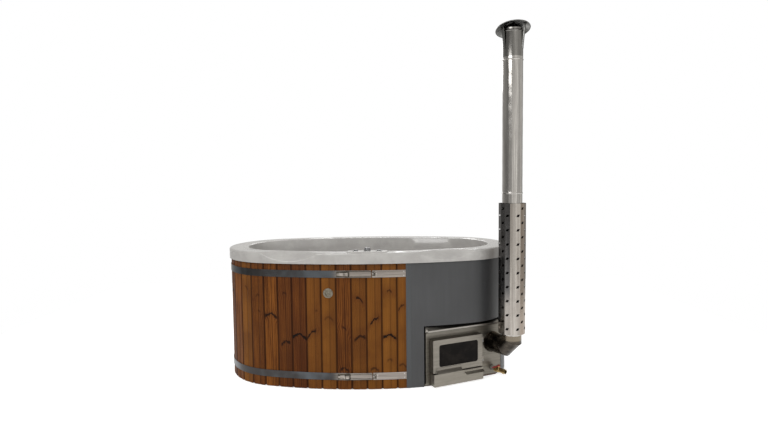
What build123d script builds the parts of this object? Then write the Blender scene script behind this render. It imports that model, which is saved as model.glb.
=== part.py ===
from build123d import *
import math
import os

# Oval soaking tub with a built-in wood stove.
# Millimetres, +Z up. The origin is on the floor at the middle of the tub, +X runs to the stove end and
# -Y is the front with the controls and the stove door.

os.makedirs("parts", exist_ok=True)

# Driving sizes of the tub
TUB_LENGTH = 2130
TUB_WIDTH = 1110
END_RADIUS = 465
RIM_BOTTOM = 890
RIM_HEIGHT = 77
RIM_TOP = RIM_BOTTOM + RIM_HEIGHT
WALL_BOTTOM = 4
SEAT_GAP = 0.3

# Rim and basin
RIM_OVERHANG = 12.5
SHELL_WALL = 6
RIM_EDGE_RADIUS = 14
RIM_INNER_RADIUS = 9
END_RIM_WIDTH = 130
SIDE_RIM_WIDTH = 95
OPENING_LENGTH = TUB_LENGTH - 2 * END_RIM_WIDTH
OPENING_WIDTH = TUB_WIDTH - 2 * SIDE_RIM_WIDTH
OPENING_END_RADIUS = END_RADIUS - 110
BOWL_TAPER = 4
SEAT_HEIGHT = 450
SEAT_CORNER_RADIUS = 48
WELL_LEFT_INSET = 465
WELL_RIGHT_INSET = 935
WELL_LEFT = WELL_LEFT_INSET - TUB_LENGTH / 2
WELL_RIGHT = TUB_LENGTH / 2 - WELL_RIGHT_INSET
WELL_WIDTH = 650
WELL_CORNER_RADIUS = 68
WELL_FLOOR = 115
WELL_FLOOR_RADIUS = 55
STEP_RADIUS = 18
WELL_SEAM_DROP = 36
SCOOP_ALONG = 560
SCOOP_RADIUS = 545
SCOOP_DEPTH = 60
SCOOP_SLOPE = 30
DECK_LENGTH = 290
DECK_RISE = 8
DECK_DEPTH = 88
DECK_CORNER_RADIUS = 40
DECK_EDGE_RADIUS = 6.5

# Floor plate, bearers, rails and studs
PLATE_THICKNESS = 12
PLATE_NOTCH_MARGIN = 60
BEARER_WIDTH = 45
BEARER_LENGTH = 560
BEARER_X = (-500, -300, -100)
RAIL_DEPTH = 30
RAIL_HEIGHT = 45
LOWER_RAIL_Z = 40
UPPER_RAIL_Z = RIM_BOTTOM - 52
RAIL_NOTCH_MARGIN = 12
STUD_WIDTH = 45
STUD_DEPTH = 32
STUD_COUNT = 7
STUD_END_MARGIN = 170

# Staves
BOARD_WIDTH = 106
END_BOARD_TRIM = 24.55
STAVE_THICKNESS = 22
STAVE_GAP = 0.4
STAVE_TOP = RIM_BOTTOM + 7
GROOVE = 3
BEAD_RADIUS = 5
FACE_GROOVE_SHARE = 0.56
FACE_GROOVE_WIDTH = 9
FACE_GROOVE_DEPTH = 1.5
STAVE_GROUPS = ("staves_rear", "staves_rear_left", "staves_left_end", "staves_front_left", "staves_front")

# Sheet-metal casing
SHEET = 2
CASING_GAP = 2
CASING_LEFT_WIDTH = 109
CUTOUT_SPAN = 667.5
CASING_RIGHT_WIDTH = 13
TRIM_WIDTH = 36
TRIM_SHEET = 1.5
TRIM_LIFT = 0.35

# Hoops and draw latches
HOOP_HEIGHT = 50
HOOP_SHEET = 1.5
HOOP_LIFT = 3.2
UPPER_HOOP_Z = RIM_BOTTOM - 70
LOWER_HOOP_Z = 98
HOOP_TRIM_GAP = 1
RIVET_INSET = 14
RIVET_RADIUS = 4.5
RIVET_TIP_RADIUS = 2.5
RIVET_HEIGHT = 2.2
LATCH_FROM_END = 455
LATCH_PIVOT_X = 31
LATCH_EYE_FROM_END = 236
LATCH_BASE_LENGTH = 92
LATCH_EYE_LENGTH = 36
LATCH_EYE_GAP = 5
LATCH_PLATE = 2
LATCH_PLATE_MARGIN = 4
LATCH_PLATE_RADIUS = 6
LATCH_EAR_GAP = 26
LATCH_EAR_SHEET = 3
LATCH_EAR_RADIUS = 6
LATCH_PIN_RADIUS = 3
LATCH_PIN_LIFT = 11
LEVER_LENGTH = 62
LEVER_WIDTH = 22
LEVER_SHEET = 3
LEVER_TIP_WIDTH = 14
LEVER_TIP_LENGTH = 10
BAIL_WIRE_RADIUS = 2
BAIL_SEAT = 20
BAIL_SEAT_LIFT = 6.2
BAIL_NARROW = 8
BAIL_FLARE = 26
BAIL_CORNER_RADIUS = 5
BAIL_SEAT_CLEARANCE = 0.2
PIN_CLEARANCE = 0.06

# Overflow
OVERFLOW_LEFT = 280.4
OVERFLOW_Z = RIM_TOP - 281
OVERFLOW_BORE_RADIUS = 20
OVERFLOW_FLANGE_RADIUS = 35
OVERFLOW_FLANGE_HEIGHT = 7
OVERFLOW_COLLAR_HEIGHT = 5
OVERFLOW_COLLAR_WALL = 4
OVERFLOW_PIPE_BORE_RADIUS = 21
OVERFLOW_PIPE_WALL = 2
OVERFLOW_REACH = 400

# Rim controls
CONTROL_X = (-84, -3, 79)
CONTROL_Y = -(TUB_WIDTH / 2 - 47)
BEZEL_RADIUS = 27
BEZEL_HEIGHT = 3
BEZEL_NECK_RADIUS = 17.6
BUTTON_RADIUS = 15
BUTTON_CLEARANCE = 0.06
BUTTON_TRAVEL = 4
BUTTON_PROUD = 4.5
BUTTON_DISH_RADIUS = 80
BUTTON_DISH_DEPTH = 2
CONTROL_NECK_LENGTH = 34
CONTROL_BORE_DEPTH = 25
KNOB_RADIUS = 24
KNOB_TAPER = 5
KNOB_HEIGHT = 20
KNOB_FLUTES = 10
KNOB_FLUTE_RADIUS = 4
KNOB_STEM_RADIUS = 7

# Stove: e runs along its face to the right, n points out of the face, both from the cut-out's left edge
STOVE_FROM_END = 677
STOVE_FROM_SIDE = 31
STOVE_TURN = 23.5
STOVE_X = TUB_LENGTH / 2 - STOVE_FROM_END
STOVE_Y = -(TUB_WIDTH / 2 - STOVE_FROM_SIDE)
PANEL_SHEET = 3
PANEL_LEFT = 8
PANEL_RIGHT = 652
DOOR_BOTTOM = 105
DOOR_HEIGHT = 235
PANEL_ABOVE_DOOR = 48
PANEL_TOP = DOOR_BOTTOM + DOOR_HEIGHT + PANEL_ABOVE_DOOR
PANEL_SIDE_LIP = 12
PANEL_TOP_LIP = 9
DOOR_LEFT = 45
DOOR_WIDTH = 410
DOOR_BACK = 4
DOOR_FRONT = 50
DOOR_SHEET = 2.5
DOOR_CORNER_RADIUS = 5
DOORWAY_SIDE_MARGIN = 30
DOORWAY_MARGIN = 22
GLASS_LEFT = 49
GLASS_LOW = 41
GLASS_WIDTH = 322
GLASS_HEIGHT = 157
GLASS_CORNER_RADIUS = 16
GLASS_THICKNESS = 4
GLASS_MARGIN = 12
CLIP_LENGTH = 300
CLIP_LAP = 10
DOOR_PULL_LEFT = 22
DOOR_PULL_WIDTH = 205
DOOR_PULL_DEPTH = 22
DOOR_PULL_TOP = 36
DOOR_PULL_FOLD = 16
HINGE_OFFSET = 8
HINGE_N = 43
HINGE_PIN_RADIUS = 3.5
HINGE_BARREL_RADIUS = 6.5
HINGE_BARREL_LENGTH = 24
HINGE_LUG_LENGTH = 14
HINGE_CLEARANCE = 0.05
HINGE_LIFTS = (45, 190)
FIREBOX_DEPTH = 420
FIREBOX_LEFT = 20
STOVE_SHEET = 4
STOVE_RIGHT_LOW = 500
STOVE_TOP = PANEL_TOP - PANEL_SHEET
ASH_TOP = DOOR_BOTTOM - 5
FLUE_BOX_DEPTH = 190
FLUE_BOX_BOTTOM = 168
GRATE_LEFT = 120
GRATE_WIDTH = 280
GRATE_FRONT = 80
GRATE_LENGTH = 280
GRATE_LAP = 12
GRATE_THICKNESS = 14
GRATE_BARS = 11
GRATE_SLOT_MARGIN = 10
GRATE_SLOT_LENGTH = 250
DRAWER_FRONT = 60
DRAWER_BOTTOM = 10
DRAWER_TOP = DOOR_BOTTOM - 6
DRAWER_SHIFT = 2
DRAWER_SHEET = 2
TRAY_CLEARANCE = 0.3
TRAY_TOP = DRAWER_TOP - 15
TRAY_DEPTH = 350
TRAY_MARGIN = 13
TRAY_SLOT_CLEARANCE = 4
TRAY_SLOT_HEADROOM = 7
DRAWER_PULL_WIDTH = 155
DRAWER_PULL_DEPTH = 20
DRAWER_PULL_DROP = 4
DRAWER_PULL_FOLD = 10
HOOD_FRONT = 36
HOOD_EDGE_Z = PANEL_TOP + 14
HOOD_RISE = 32
HOOD_TOP = HOOD_EDGE_Z + HOOD_RISE
HOOD_LIP = 11
HOOD_LIP_DROP = 4
HOOD_LEFT_MARGIN = 6
HOOD_RIGHT_MARGIN = 38
HOOD_SHEET = 2
CUTOUT_TOP = HOOD_TOP + 4

# Flue: its stub leaves the face at a slant, turned to the right of square
FLUE_STUB_E = 577
FLUE_STUB_Z = 254
FLUE_STUB_TURN = 12.82
FLUE_STUB_REACH = 183.8
FLUE_STUB_INSIDE = 22
ELBOW_CUT = 62
COLLAR_WIDTH = 7
COLLAR_THICKNESS = 6
PIPE_RADIUS = 70
PIPE_SHEET = 1
FLUE_HOLE_CLEARANCE = 0.3
SPIGOT_LENGTH = 45
SPIGOT_STEP = 1.6
BEAD_HEIGHT = 3.5
BEAD_WIDTH = 12
BEAD_DROP = 20
RISER_HEIGHT = 98
LOWER_PIPE_LENGTH = 1033
UPPER_PIPE_LENGTH = 923
SLEEVE_LENGTH = 192
LOWER_PIPE_BOTTOM = FLUE_STUB_Z + RISER_HEIGHT
SEAM_1 = LOWER_PIPE_BOTTOM + LOWER_PIPE_LENGTH
SEAM_2 = SEAM_1 + UPPER_PIPE_LENGTH
SLEEVE_TOP = SEAM_2 + SLEEVE_LENGTH
SHIELD_BOTTOM = LOWER_PIPE_BOTTOM + 13
SHIELD_ROWS = 9
SHIELD_PITCH = 100
FIRST_HOLE = 43
SHIELD_END_MARGIN = 86
SHIELD_TOP = SHIELD_BOTTOM + FIRST_HOLE + (SHIELD_ROWS - 1) * SHIELD_PITCH + SHIELD_END_MARGIN
SHIELD_FLATS = 188
SHIELD_SIDES = 16
SHIELD_SHEET = 1.2
SHIELD_TURN = 11.5
HOLE_WIDTH = 19
HOLE_HEIGHT = 17
HOLE_SLANT = 8
SPACER_WIDTH = 16
SPACER_SHEET = 2
SPACER_TAB = 12
CAP_RADIUS = 119
CAP_EDGE_Z = SLEEVE_TOP - 1
CAP_HEIGHT = 58
CAP_SHEET = 1.2
CAP_TILT = 2
CAP_LEAN = 16
CAP_LEG_WIDTH = 22
CAP_LEG_ANGLES = (205, 325, 85)
CAP_LEG_RING = 91
CAP_PAD_LENGTH = 16
CAP_LIP = 2
CAP_SHOULDER = 32.5
CAP_LEG_SHEET = 2
CAP_LEG_BOTTOM = SLEEVE_TOP - 138
CAP_LEG_STRAIGHT = 20

# Drain
DRAIN_Z = 56
DRAIN_E = 577
DRAIN_PIPE_RADIUS = 16
DRAIN_BORE_RADIUS = 12.5
DRAIN_BEND = 60
WELL_DRAIN_INSET = 90
WELL_DRAIN_X = WELL_RIGHT - WELL_DRAIN_INSET
WELL_DRAIN_RADIUS = 38
WELL_DRAIN_THICKNESS = 5
WELL_DRAIN_HOLES = 6
WELL_DRAIN_HOLE_RADIUS = 5
WELL_DRAIN_HOLE_RING = 18
SUMP_MARGIN = 4
DRAIN_BACK_Y = 215
VALVE_START = 30
VALVE_LENGTH = 70
VALVE_SOCKET_LENGTH = 16
VALVE_SOCKET_RADIUS = 21
VALVE_BARREL_RADIUS = 17
VALVE_BALL_RADIUS = 20
VALVE_STEM_RADIUS = 5
VALVE_GLAND_RADIUS = 8
VALVE_LEVER_Z = 88
VALVE_HUB_RADIUS = 10
VALVE_HUB_HEIGHT = 10
VALVE_LEVER_LENGTH = 72
VALVE_LEVER_WIDTH = 17
VALVE_LEVER_SHEET = 4
OUTLET_LENGTH = 28
OUTLET_NUT_LENGTH = 16.8
OUTLET_NUT_RADIUS = 19
OUTLET_BORE_RADIUS = 13

# Water pipes
WATER_PIPE_RADIUS = 24
WATER_PIPE_WALL = 2
WATER_PIPE_DEPTH = 385
WATER_PIPE_Z = (218, 330)
WATER_PIPE_LENGTH = 500
GRILLE_RADIUS = 42
GRILLE_THICKNESS = 6
GRILLE_SLOTS = 8
GRILLE_SLOT_RING = 20
GRILLE_SLOT_LENGTH = 18
GRILLE_SLOT_WIDTH = 5


# Four-centre oval

def oval_centres(length, width, end_radius):
    """Side radius, centre distances and the angle where end arc and side arc meet."""
    a = length / 2
    b = width / 2
    side_radius = (a * a + b * b - 2 * a * end_radius) / (2 * (b - end_radius))
    end_centre = a - end_radius
    side_centre = side_radius - b
    return side_radius, end_centre, side_centre, math.degrees(math.atan2(side_centre, end_centre))


def oval(length, width, end_radius, z=0):
    side_radius, end_c, side_c, phi = oval_centres(length, width, end_radius)
    edges = [
        CenterArc((end_c, 0), end_radius, -phi, 2 * phi),
        CenterArc((0, -side_c), side_radius, phi, 180 - 2 * phi),
        CenterArc((-end_c, 0), end_radius, 180 - phi, 2 * phi),
        CenterArc((0, side_c), side_radius, 180 + phi, 180 - 2 * phi),
    ]
    return Pos(0, 0, z) * make_face(edges)


def wall_oval(offset, z=0):
    """The wall's outline, moved outwards by offset."""
    return oval(TUB_LENGTH + 2 * offset, TUB_WIDTH + 2 * offset, END_RADIUS + offset, z)


SIDE_RADIUS, END_CENTRE, SIDE_CENTRE, PHI = oval_centres(TUB_LENGTH, TUB_WIDTH, END_RADIUS)
END_HALF = END_RADIUS * math.radians(PHI)
SIDE_RUN = SIDE_RADIUS * math.radians(180 - 2 * PHI)

# Arcs of the wall: first station, radius, centre, angle of the outward normal at the first station.
# A station is the distance along the wall from the left tip, positive along the front.
WALL_ARCS = (
    (-END_HALF - SIDE_RUN, SIDE_RADIUS, (0, -SIDE_CENTRE), PHI),
    (-END_HALF, END_RADIUS, (-END_CENTRE, 0), 180 - PHI),
    (END_HALF, SIDE_RADIUS, (0, SIDE_CENTRE), 180 + PHI),
    (END_HALF + SIDE_RUN, END_RADIUS, (END_CENTRE, 0), 360 - PHI),
    (3 * END_HALF + SIDE_RUN, SIDE_RADIUS, (0, -SIDE_CENTRE), 360 + PHI),
)
HALF_ROUND = 2 * END_HALF + SIDE_RUN
FRONT_MIDDLE = HALF_ROUND / 2


def wall_arc(s):
    return [arc for arc in WALL_ARCS if arc[0] <= s + 1e-9][-1]


def normal_angle(s):
    start, radius, centre, angle = wall_arc(s)
    return angle + math.degrees((s - start) / radius)


def wall_point(s, offset=0, arc=None):
    start, radius, centre, angle = arc or wall_arc(s)
    turn = math.radians(angle + math.degrees((s - start) / radius))
    reach = radius + offset
    return (centre[0] + reach * math.cos(turn), centre[1] + reach * math.sin(turn))


def station(s, offset=0, z=0):
    """Frame on the wall: local X along the wall, local -Y outwards."""
    x, y = wall_point(s, offset)
    return Location((x, y, z), (0, 0, normal_angle(s) - 270))


def wall_run(s1, s2, offset):
    """Edges along the wall between two stations."""
    joints = [arc[0] for arc in WALL_ARCS if s1 < arc[0] < s2]
    stops = [s1, *joints, s2]
    edges = []
    for low, high in zip(stops, stops[1:]):
        middle = (low + high) / 2
        points = [wall_point(s, offset, wall_arc(middle)) for s in (low, middle, high)]
        edges.append(ThreePointArc(*points))
    return edges


def station_near(x, y):
    """Station of the wall point that faces a place near the front."""
    end_turn = math.degrees(math.atan2(y, x - END_CENTRE))
    if abs(end_turn) < PHI:
        return END_HALF + SIDE_RUN + END_RADIUS * math.radians(end_turn + PHI)
    side_turn = math.degrees(math.atan2(y - SIDE_CENTRE, x))
    return FRONT_MIDDLE + SIDE_RADIUS * math.radians(side_turn + 90)


def band(s1, s2, inner, outer, z1, z2):
    """A curved plate that follows the wall between two stations."""
    edges = wall_run(s1, s2, inner) + wall_run(s1, s2, outer)
    for s in (s1, s2):
        edges.append(Line(wall_point(s, inner), wall_point(s, outer)))
    return extrude(Pos(0, 0, z1) * make_face(edges), amount=z2 - z1)


def box(x1, x2, y1, y2, z1, z2):
    return Pos((x1 + x2) / 2, (y1 + y2) / 2, (z1 + z2) / 2) * Box(x2 - x1, y2 - y1, z2 - z1)


def rod(radius, start, end):
    """A round bar between two points."""
    axis = Vector(*end) - Vector(*start)
    return extrude(Plane(origin=start, z_dir=axis) * Circle(radius), amount=axis.length)


def tube(outer, inner, start, end):
    """A round pipe between two points."""
    axis = Vector(*end) - Vector(*start)
    return extrude(Plane(origin=start, z_dir=axis) * (Circle(outer) - Circle(inner)), amount=axis.length)


def join(pieces):
    result = pieces[0]
    for piece in pieces[1:]:
        result = result + piece
    return result


def save(name, *pieces):
    solids = [solid for piece in pieces for solid in piece.solids()]
    export_step(Compound(children=solids, label=name), f"parts/{name}.step")


# Stove frame: local X is e, local -Y is n

STOVE = Location((STOVE_X, STOVE_Y, 0), (0, 0, STOVE_TURN))


def stove_point(e, n, z=0):
    turn = math.radians(STOVE_TURN)
    x = STOVE_X + e * math.cos(turn) + n * math.sin(turn)
    y = STOVE_Y + e * math.sin(turn) - n * math.cos(turn)
    return (x, y, z)


def block(e1, e2, n1, n2, z1, z2):
    """A box in the stove frame, before it is turned into place."""
    return box(e1, e2, -n2, -n1, z1, z2)


# Flue and drain leave the stove along one line in plan

OUT_TURN = STOVE_TURN - 90 + FLUE_STUB_TURN
OUT = (math.cos(math.radians(OUT_TURN)), math.sin(math.radians(OUT_TURN)))


def along_out(start, distance, z):
    return (start[0] + OUT[0] * distance, start[1] + OUT[1] * distance, z)


STUB = stove_point(FLUE_STUB_E, 0)
DRAIN_START = stove_point(DRAIN_E, 0)
FLUE_X, FLUE_Y = along_out(STUB, FLUE_STUB_REACH, FLUE_STUB_Z)[:2]


# Stations along the wall that the stove sets: cut-out, edge of the wood, seams of the sheet, latches

CUTOUT_LEFT = station_near(STOVE_X, STOVE_Y)
CUTOUT_RIGHT = station_near(*stove_point(CUTOUT_SPAN, 0)[:2])
CASING_SEAM = CUTOUT_RIGHT + CASING_RIGHT_WIDTH
WOOD_END = CUTOUT_LEFT - CASING_LEFT_WIDTH
HOOP_END = WOOD_END - TRIM_WIDTH / 2 - HOOP_TRIM_GAP
LATCH_BASE_STATION = WOOD_END - LATCH_FROM_END
LATCH_EYE_STATION = WOOD_END - LATCH_EYE_FROM_END
OVERFLOW_STATION = FRONT_MIDDLE - OVERFLOW_LEFT
STAVE_HALF_COUNT = round((WOOD_END + END_BOARD_TRIM) / BOARD_WIDTH - 0.5)
STAVE_PITCH = (WOOD_END + END_BOARD_TRIM) / (STAVE_HALF_COUNT + 0.5)


# Basin: one moulded shell with its rim

def basin_body(grow):
    """Bowl and foot well, grown outwards by the shell's wall for the outside."""
    top = oval(OPENING_LENGTH + 2 * grow, OPENING_WIDTH + 2 * grow, OPENING_END_RADIUS + grow, RIM_TOP)
    bowl = extrude(top, amount=-(RIM_TOP - SEAT_HEIGHT + grow), taper=BOWL_TAPER)
    bowl = fillet(bowl.faces().sort_by(Axis.Z)[0].edges(), SEAT_CORNER_RADIUS + grow)
    well_length = WELL_RIGHT - WELL_LEFT + 2 * grow
    plan = RectangleRounded(well_length, WELL_WIDTH + 2 * grow, WELL_CORNER_RADIUS + grow)
    well_height = SEAT_HEIGHT - WELL_FLOOR + 2 * SEAT_CORNER_RADIUS
    middle = (WELL_LEFT + WELL_RIGHT) / 2
    well = Pos(middle, 0, WELL_FLOOR - grow) * extrude(plan, amount=well_height + grow)
    well = fillet(well.faces().sort_by(Axis.Z)[0].edges(), WELL_FLOOR_RADIUS + grow)
    body = bowl + well
    step = body.edges().filter_by(lambda edge: on_step(edge, SEAT_HEIGHT - grow))
    return fillet(step, STEP_RADIUS - grow)


def on_step(edge, z):
    """True for the edge where the seat drops into the foot well."""
    centre = edge.center()
    return abs(edge.bounding_box().size.Z) < 0.01 and abs(centre.Z - z) < 0.01


def scoop(side, grow=0):
    """Sloping round cutter of an arm rest, lowest where it leaves the rim's outer face."""
    slope = math.radians(SCOOP_SLOPE)
    lift = SCOOP_RADIUS / math.cos(slope)
    reach = 2 * (TUB_WIDTH - OPENING_WIDTH)
    run = (0, reach * math.cos(slope), reach * math.sin(slope))
    cutter = rod(SCOOP_RADIUS + grow, (0, -run[1], lift - run[2]), (0, run[1], lift + run[2]))
    place = station(FRONT_MIDDLE + side * SCOOP_ALONG, RIM_OVERHANG, RIM_TOP - SCOOP_DEPTH)
    return place * cutter


def make_shell():
    """The whole moulding, before it is parted into rim, bowl and foot well."""
    rim = extrude(wall_oval(RIM_OVERHANG, RIM_BOTTOM), amount=RIM_HEIGHT)
    rim = fillet(rim.faces().sort_by(Axis.Z)[-1].edges(), RIM_EDGE_RADIUS)
    deck_plan = RectangleRounded(DECK_LENGTH, DECK_DEPTH, DECK_CORNER_RADIUS)
    deck_middle = (CONTROL_X[0] + CONTROL_X[-1]) / 2
    deck = extrude(deck_plan, amount=SHELL_WALL + DECK_RISE)
    deck = fillet(deck.faces().sort_by(Axis.Z)[-1].edges(), DECK_EDGE_RADIUS)
    under = wall_oval(RIM_OVERHANG - SHELL_WALL, RIM_BOTTOM)
    hollow = extrude(under, amount=RIM_HEIGHT - SHELL_WALL)
    for side in (-1, 1):
        hollow = hollow - scoop(side, SHELL_WALL)
        rim = rim - scoop(side)
    shell = (rim - hollow) + basin_body(SHELL_WALL) + Pos(deck_middle, CONTROL_Y, RIM_TOP - SHELL_WALL) * deck
    shell = shell - basin_body(0)
    inner_edges = shell.edges().filter_by(is_opening_edge)
    shell = fillet(inner_edges, RIM_INNER_RADIUS)
    for x in CONTROL_X:
        low = (x, CONTROL_Y, RIM_TOP - CONTROL_NECK_LENGTH)
        high = (x, CONTROL_Y, RIM_TOP + CONTROL_NECK_LENGTH)
        shell = shell - rod(BEZEL_NECK_RADIUS + SEAT_GAP, low, high)
    reach = 3 * SHELL_WALL
    for z in WATER_PIPE_Z:
        bore = WATER_PIPE_RADIUS - WATER_PIPE_WALL
        shell = shell - rod(bore, (WELL_RIGHT - reach, WATER_Y, z), (WELL_RIGHT + reach, WATER_Y, z))
    drain_low = (WELL_DRAIN_X, 0, WELL_FLOOR - reach)
    shell = shell - rod(DRAIN_BORE_RADIUS, drain_low, (WELL_DRAIN_X, 0, WELL_FLOOR + reach))
    return shell - overflow_way()


def is_opening_edge(edge):
    """True for the edges where the flat rim meets the bowl."""
    middle = edge.position_at(0.5)
    level = abs(edge.center().Z - RIM_TOP) < 0.01
    return level and abs(middle.X) < OPENING_LENGTH / 2 + 1 and abs(middle.Y) < OPENING_WIDTH / 2 + 1


def slab(z1, z2):
    """Everything between two heights, for parting the shell."""
    reach = TUB_LENGTH + TUB_WIDTH
    return box(-reach, reach, -reach, reach, z1, z2)


WELL_SEAM = SEAT_HEIGHT - WELL_SEAM_DROP
WATER_START = stove_point(FIREBOX_LEFT, -WATER_PIPE_DEPTH)
WATER_Y = WATER_START[1] - (WATER_START[0] - WELL_RIGHT - SHELL_WALL) * math.tan(math.radians(STOVE_TURN))


# Floor plate, bearers, rails, studs

def make_base_plate():
    plate = extrude(wall_oval(-STAVE_THICKNESS - SEAT_GAP), amount=PLATE_THICKNESS)
    left = PANEL_LEFT - PLATE_NOTCH_MARGIN
    right = PANEL_RIGHT + PLATE_NOTCH_MARGIN
    ahead = block(left, right, -PANEL_SHEET - SEAT_GAP, TUB_WIDTH / 2, -1, PLATE_THICKNESS + 1)
    return plate - STOVE * ahead


def make_bearers():
    height = WELL_FLOOR - SHELL_WALL - SEAT_GAP - PLATE_THICKNESS
    return [
        Pos(x, 0, PLATE_THICKNESS + height / 2) * Box(BEARER_WIDTH, BEARER_LENGTH, height)
        for x in BEARER_X
    ]


def make_rail(z):
    """Bent rail behind the staves, thicker where it carries the thinner sheet metal."""
    back = -STAVE_THICKNESS - SEAT_GAP
    rail = extrude(wall_oval(back, z) - wall_oval(back - RAIL_DEPTH, z), amount=RAIL_HEIGHT)
    start = WOOD_END + CASING_GAP + TRIM_WIDTH
    stop = 2 * HALF_ROUND - start
    packer = band(start, stop, back - 1, -SHEET - SEAT_GAP, z, z + RAIL_HEIGHT)
    return rail + packer


def make_lower_rail():
    """The rail stops at both sides of the stove."""
    right = PANEL_RIGHT + RAIL_NOTCH_MARGIN
    notch = block(-RAIL_NOTCH_MARGIN, right, -FIREBOX_DEPTH, TUB_WIDTH / 2, 0, PANEL_TOP)
    return make_rail(LOWER_RAIL_Z) - STOVE * notch


def make_studs():
    rail_back = STAVE_THICKNESS + SEAT_GAP + RAIL_DEPTH
    curve = END_RADIUS - rail_back
    bulge = curve - math.sqrt(curve ** 2 - (STUD_WIDTH / 2) ** 2)
    offset = -rail_back - SEAT_GAP - bulge - STUD_DEPTH / 2
    height = UPPER_RAIL_Z + RAIL_HEIGHT - PLATE_THICKNESS
    end = WOOD_END - STUD_END_MARGIN
    spacing = 2 * end / (STUD_COUNT - 1)
    return [
        station(k * spacing - end, offset, PLATE_THICKNESS + height / 2) * Box(STUD_WIDTH, STUD_DEPTH, height)
        for k in range(STUD_COUNT)
    ]


# Staves with bead-and-cove edges, mitred where the wall turns

def stave_corner(s_edge, s_middle, depth, side):
    """Point on the mitre plane at a joint, at a depth behind the stave's flat face."""
    joint = Vector(*wall_point(s_edge))
    middle = Vector(*wall_point(s_middle))
    edge_turn = math.radians(normal_angle(s_edge))
    face_turn = math.radians(normal_angle(s_middle))
    edge_normal = Vector(math.cos(edge_turn), math.sin(edge_turn))
    face_normal = Vector(math.cos(face_turn), math.sin(face_turn))
    reach = (-depth - (joint - middle).dot(face_normal)) / edge_normal.dot(face_normal)
    tangent = Vector(-edge_normal.Y, edge_normal.X)
    return joint + edge_normal * reach + tangent * (side * STAVE_GAP / 2)


def stave(s1, s2, groove_s):
    """One board: chamfered face with a shallow groove, bead on one edge and cove on the other."""
    middle = (s1 + s2) / 2
    face_turn = math.radians(normal_angle(middle))
    outward = Vector(math.cos(face_turn), math.sin(face_turn))
    along = Vector(-outward.Y, outward.X)
    first = [stave_corner(s1, middle, depth, 1) for depth in (0, GROOVE, STAVE_THICKNESS)]
    last = [stave_corner(s2, middle, depth, -1) for depth in (0, GROOVE, STAVE_THICKNESS)]
    start = first[0] + along * GROOVE
    stop = last[0] - along * GROOVE
    bottom = Vector(*wall_point(middle)) + along * (groove_s - middle) - outward * FACE_GROOVE_DEPTH
    half = FACE_GROOVE_WIDTH / 2
    near = bottom + outward * FACE_GROOVE_DEPTH - along * half
    far = bottom + outward * FACE_GROOVE_DEPTH + along * half
    outline = [start, near, bottom, far, stop, last[1], last[2], first[2], first[1]]
    profile = make_face(Polyline(*outline, close=True))
    bead = stave_corner(s2, middle, STAVE_THICKNESS / 2 + 1, 0)
    cove = stave_corner(s1, middle, STAVE_THICKNESS / 2 + 1, 0)
    if s2 < WOOD_END - 1:
        profile = profile + Pos(bead.X, bead.Y) * Circle(BEAD_RADIUS)
    if s1 > -WOOD_END + 1:
        profile = profile - Pos(cove.X, cove.Y) * Circle(BEAD_RADIUS + STAVE_GAP)
    return extrude(Pos(0, 0, WALL_BOTTOM) * profile, amount=STAVE_TOP - WALL_BOTTOM)


def make_staves(group):
    """The boards of one of the equal groups, counted from the rear round the left end to the front."""
    count = 2 * STAVE_HALF_COUNT + 1
    bounds = [round(count * k / len(STAVE_GROUPS)) - STAVE_HALF_COUNT for k in (group, group + 1)]
    staves = []
    for k in range(*bounds):
        s1 = max((k - 0.5) * STAVE_PITCH, -WOOD_END)
        s2 = min((k + 0.5) * STAVE_PITCH, WOOD_END)
        board = stave(s1, s2, (k - 0.5 + FACE_GROOVE_SHARE) * STAVE_PITCH)
        if s1 < OVERFLOW_STATION < s2:
            board = board - overflow_way()
        staves.append(board)
    return staves


# Casing

def casing_sheet(s1, s2):
    return band(s1, s2, -SHEET, 0, WALL_BOTTOM, STAVE_TOP)


def make_casing_front():
    sheet = casing_sheet(WOOD_END + CASING_GAP, CASING_SEAM)
    opening = band(CUTOUT_LEFT, CUTOUT_RIGHT, -2 * SHEET, SHEET, WALL_BOTTOM - 1, CUTOUT_TOP)
    return sheet - opening


def make_trims():
    """Cover strips over the joints between wood and sheet metal, and over the seams of the sheet."""
    low = WALL_BOTTOM
    high = RIM_BOTTOM - SEAT_GAP
    half = TRIM_WIDTH / 2
    strips = []
    for s in (WOOD_END, 2 * HALF_ROUND - WOOD_END):
        strips.append(band(s - half, s + half, TRIM_LIFT, TRIM_LIFT + TRIM_SHEET, low, high))
    return strips


# Hoops and latches

def make_hoop(z):
    """Two straps, joined by the latch on the front."""
    low = z - HOOP_HEIGHT / 2
    high = z + HOOP_HEIGHT / 2
    face = HOOP_LIFT + HOOP_SHEET
    eye_left = LATCH_EYE_STATION - LATCH_EYE_LENGTH / 2
    long_strap = band(-HOOP_END, eye_left - LATCH_EYE_GAP, HOOP_LIFT, face, low, high)
    short_strap = band(eye_left + LATCH_PLATE, HOOP_END, HOOP_LIFT, face, low, high)
    return [long_strap, short_strap]


def make_hoop_rivets():
    rivets = []
    last = HOOP_END - RIVET_INSET
    head = Cone(RIVET_RADIUS, RIVET_TIP_RADIUS, RIVET_HEIGHT, align=(Align.CENTER, Align.CENTER, Align.MIN))
    for z in (UPPER_HOOP_Z, LOWER_HOOP_Z):
        for s in (-last, last):
            for dz in (-RIVET_INSET, RIVET_INSET):
                rivets.append(station(s, HOOP_LIFT + HOOP_SHEET, z + dz) * Rot(90, 0, 0) * head)
    return rivets


LATCH_FACE = HOOP_LIFT + HOOP_SHEET + 2 * SEAT_GAP
BASE_FRAME = station(LATCH_BASE_STATION, LATCH_FACE)
EYE_FRAME = station(LATCH_EYE_STATION, LATCH_FACE)
EYE_PIN = (EYE_FRAME * Pos(0, -LATCH_PIN_LIFT, 0)).position


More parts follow.
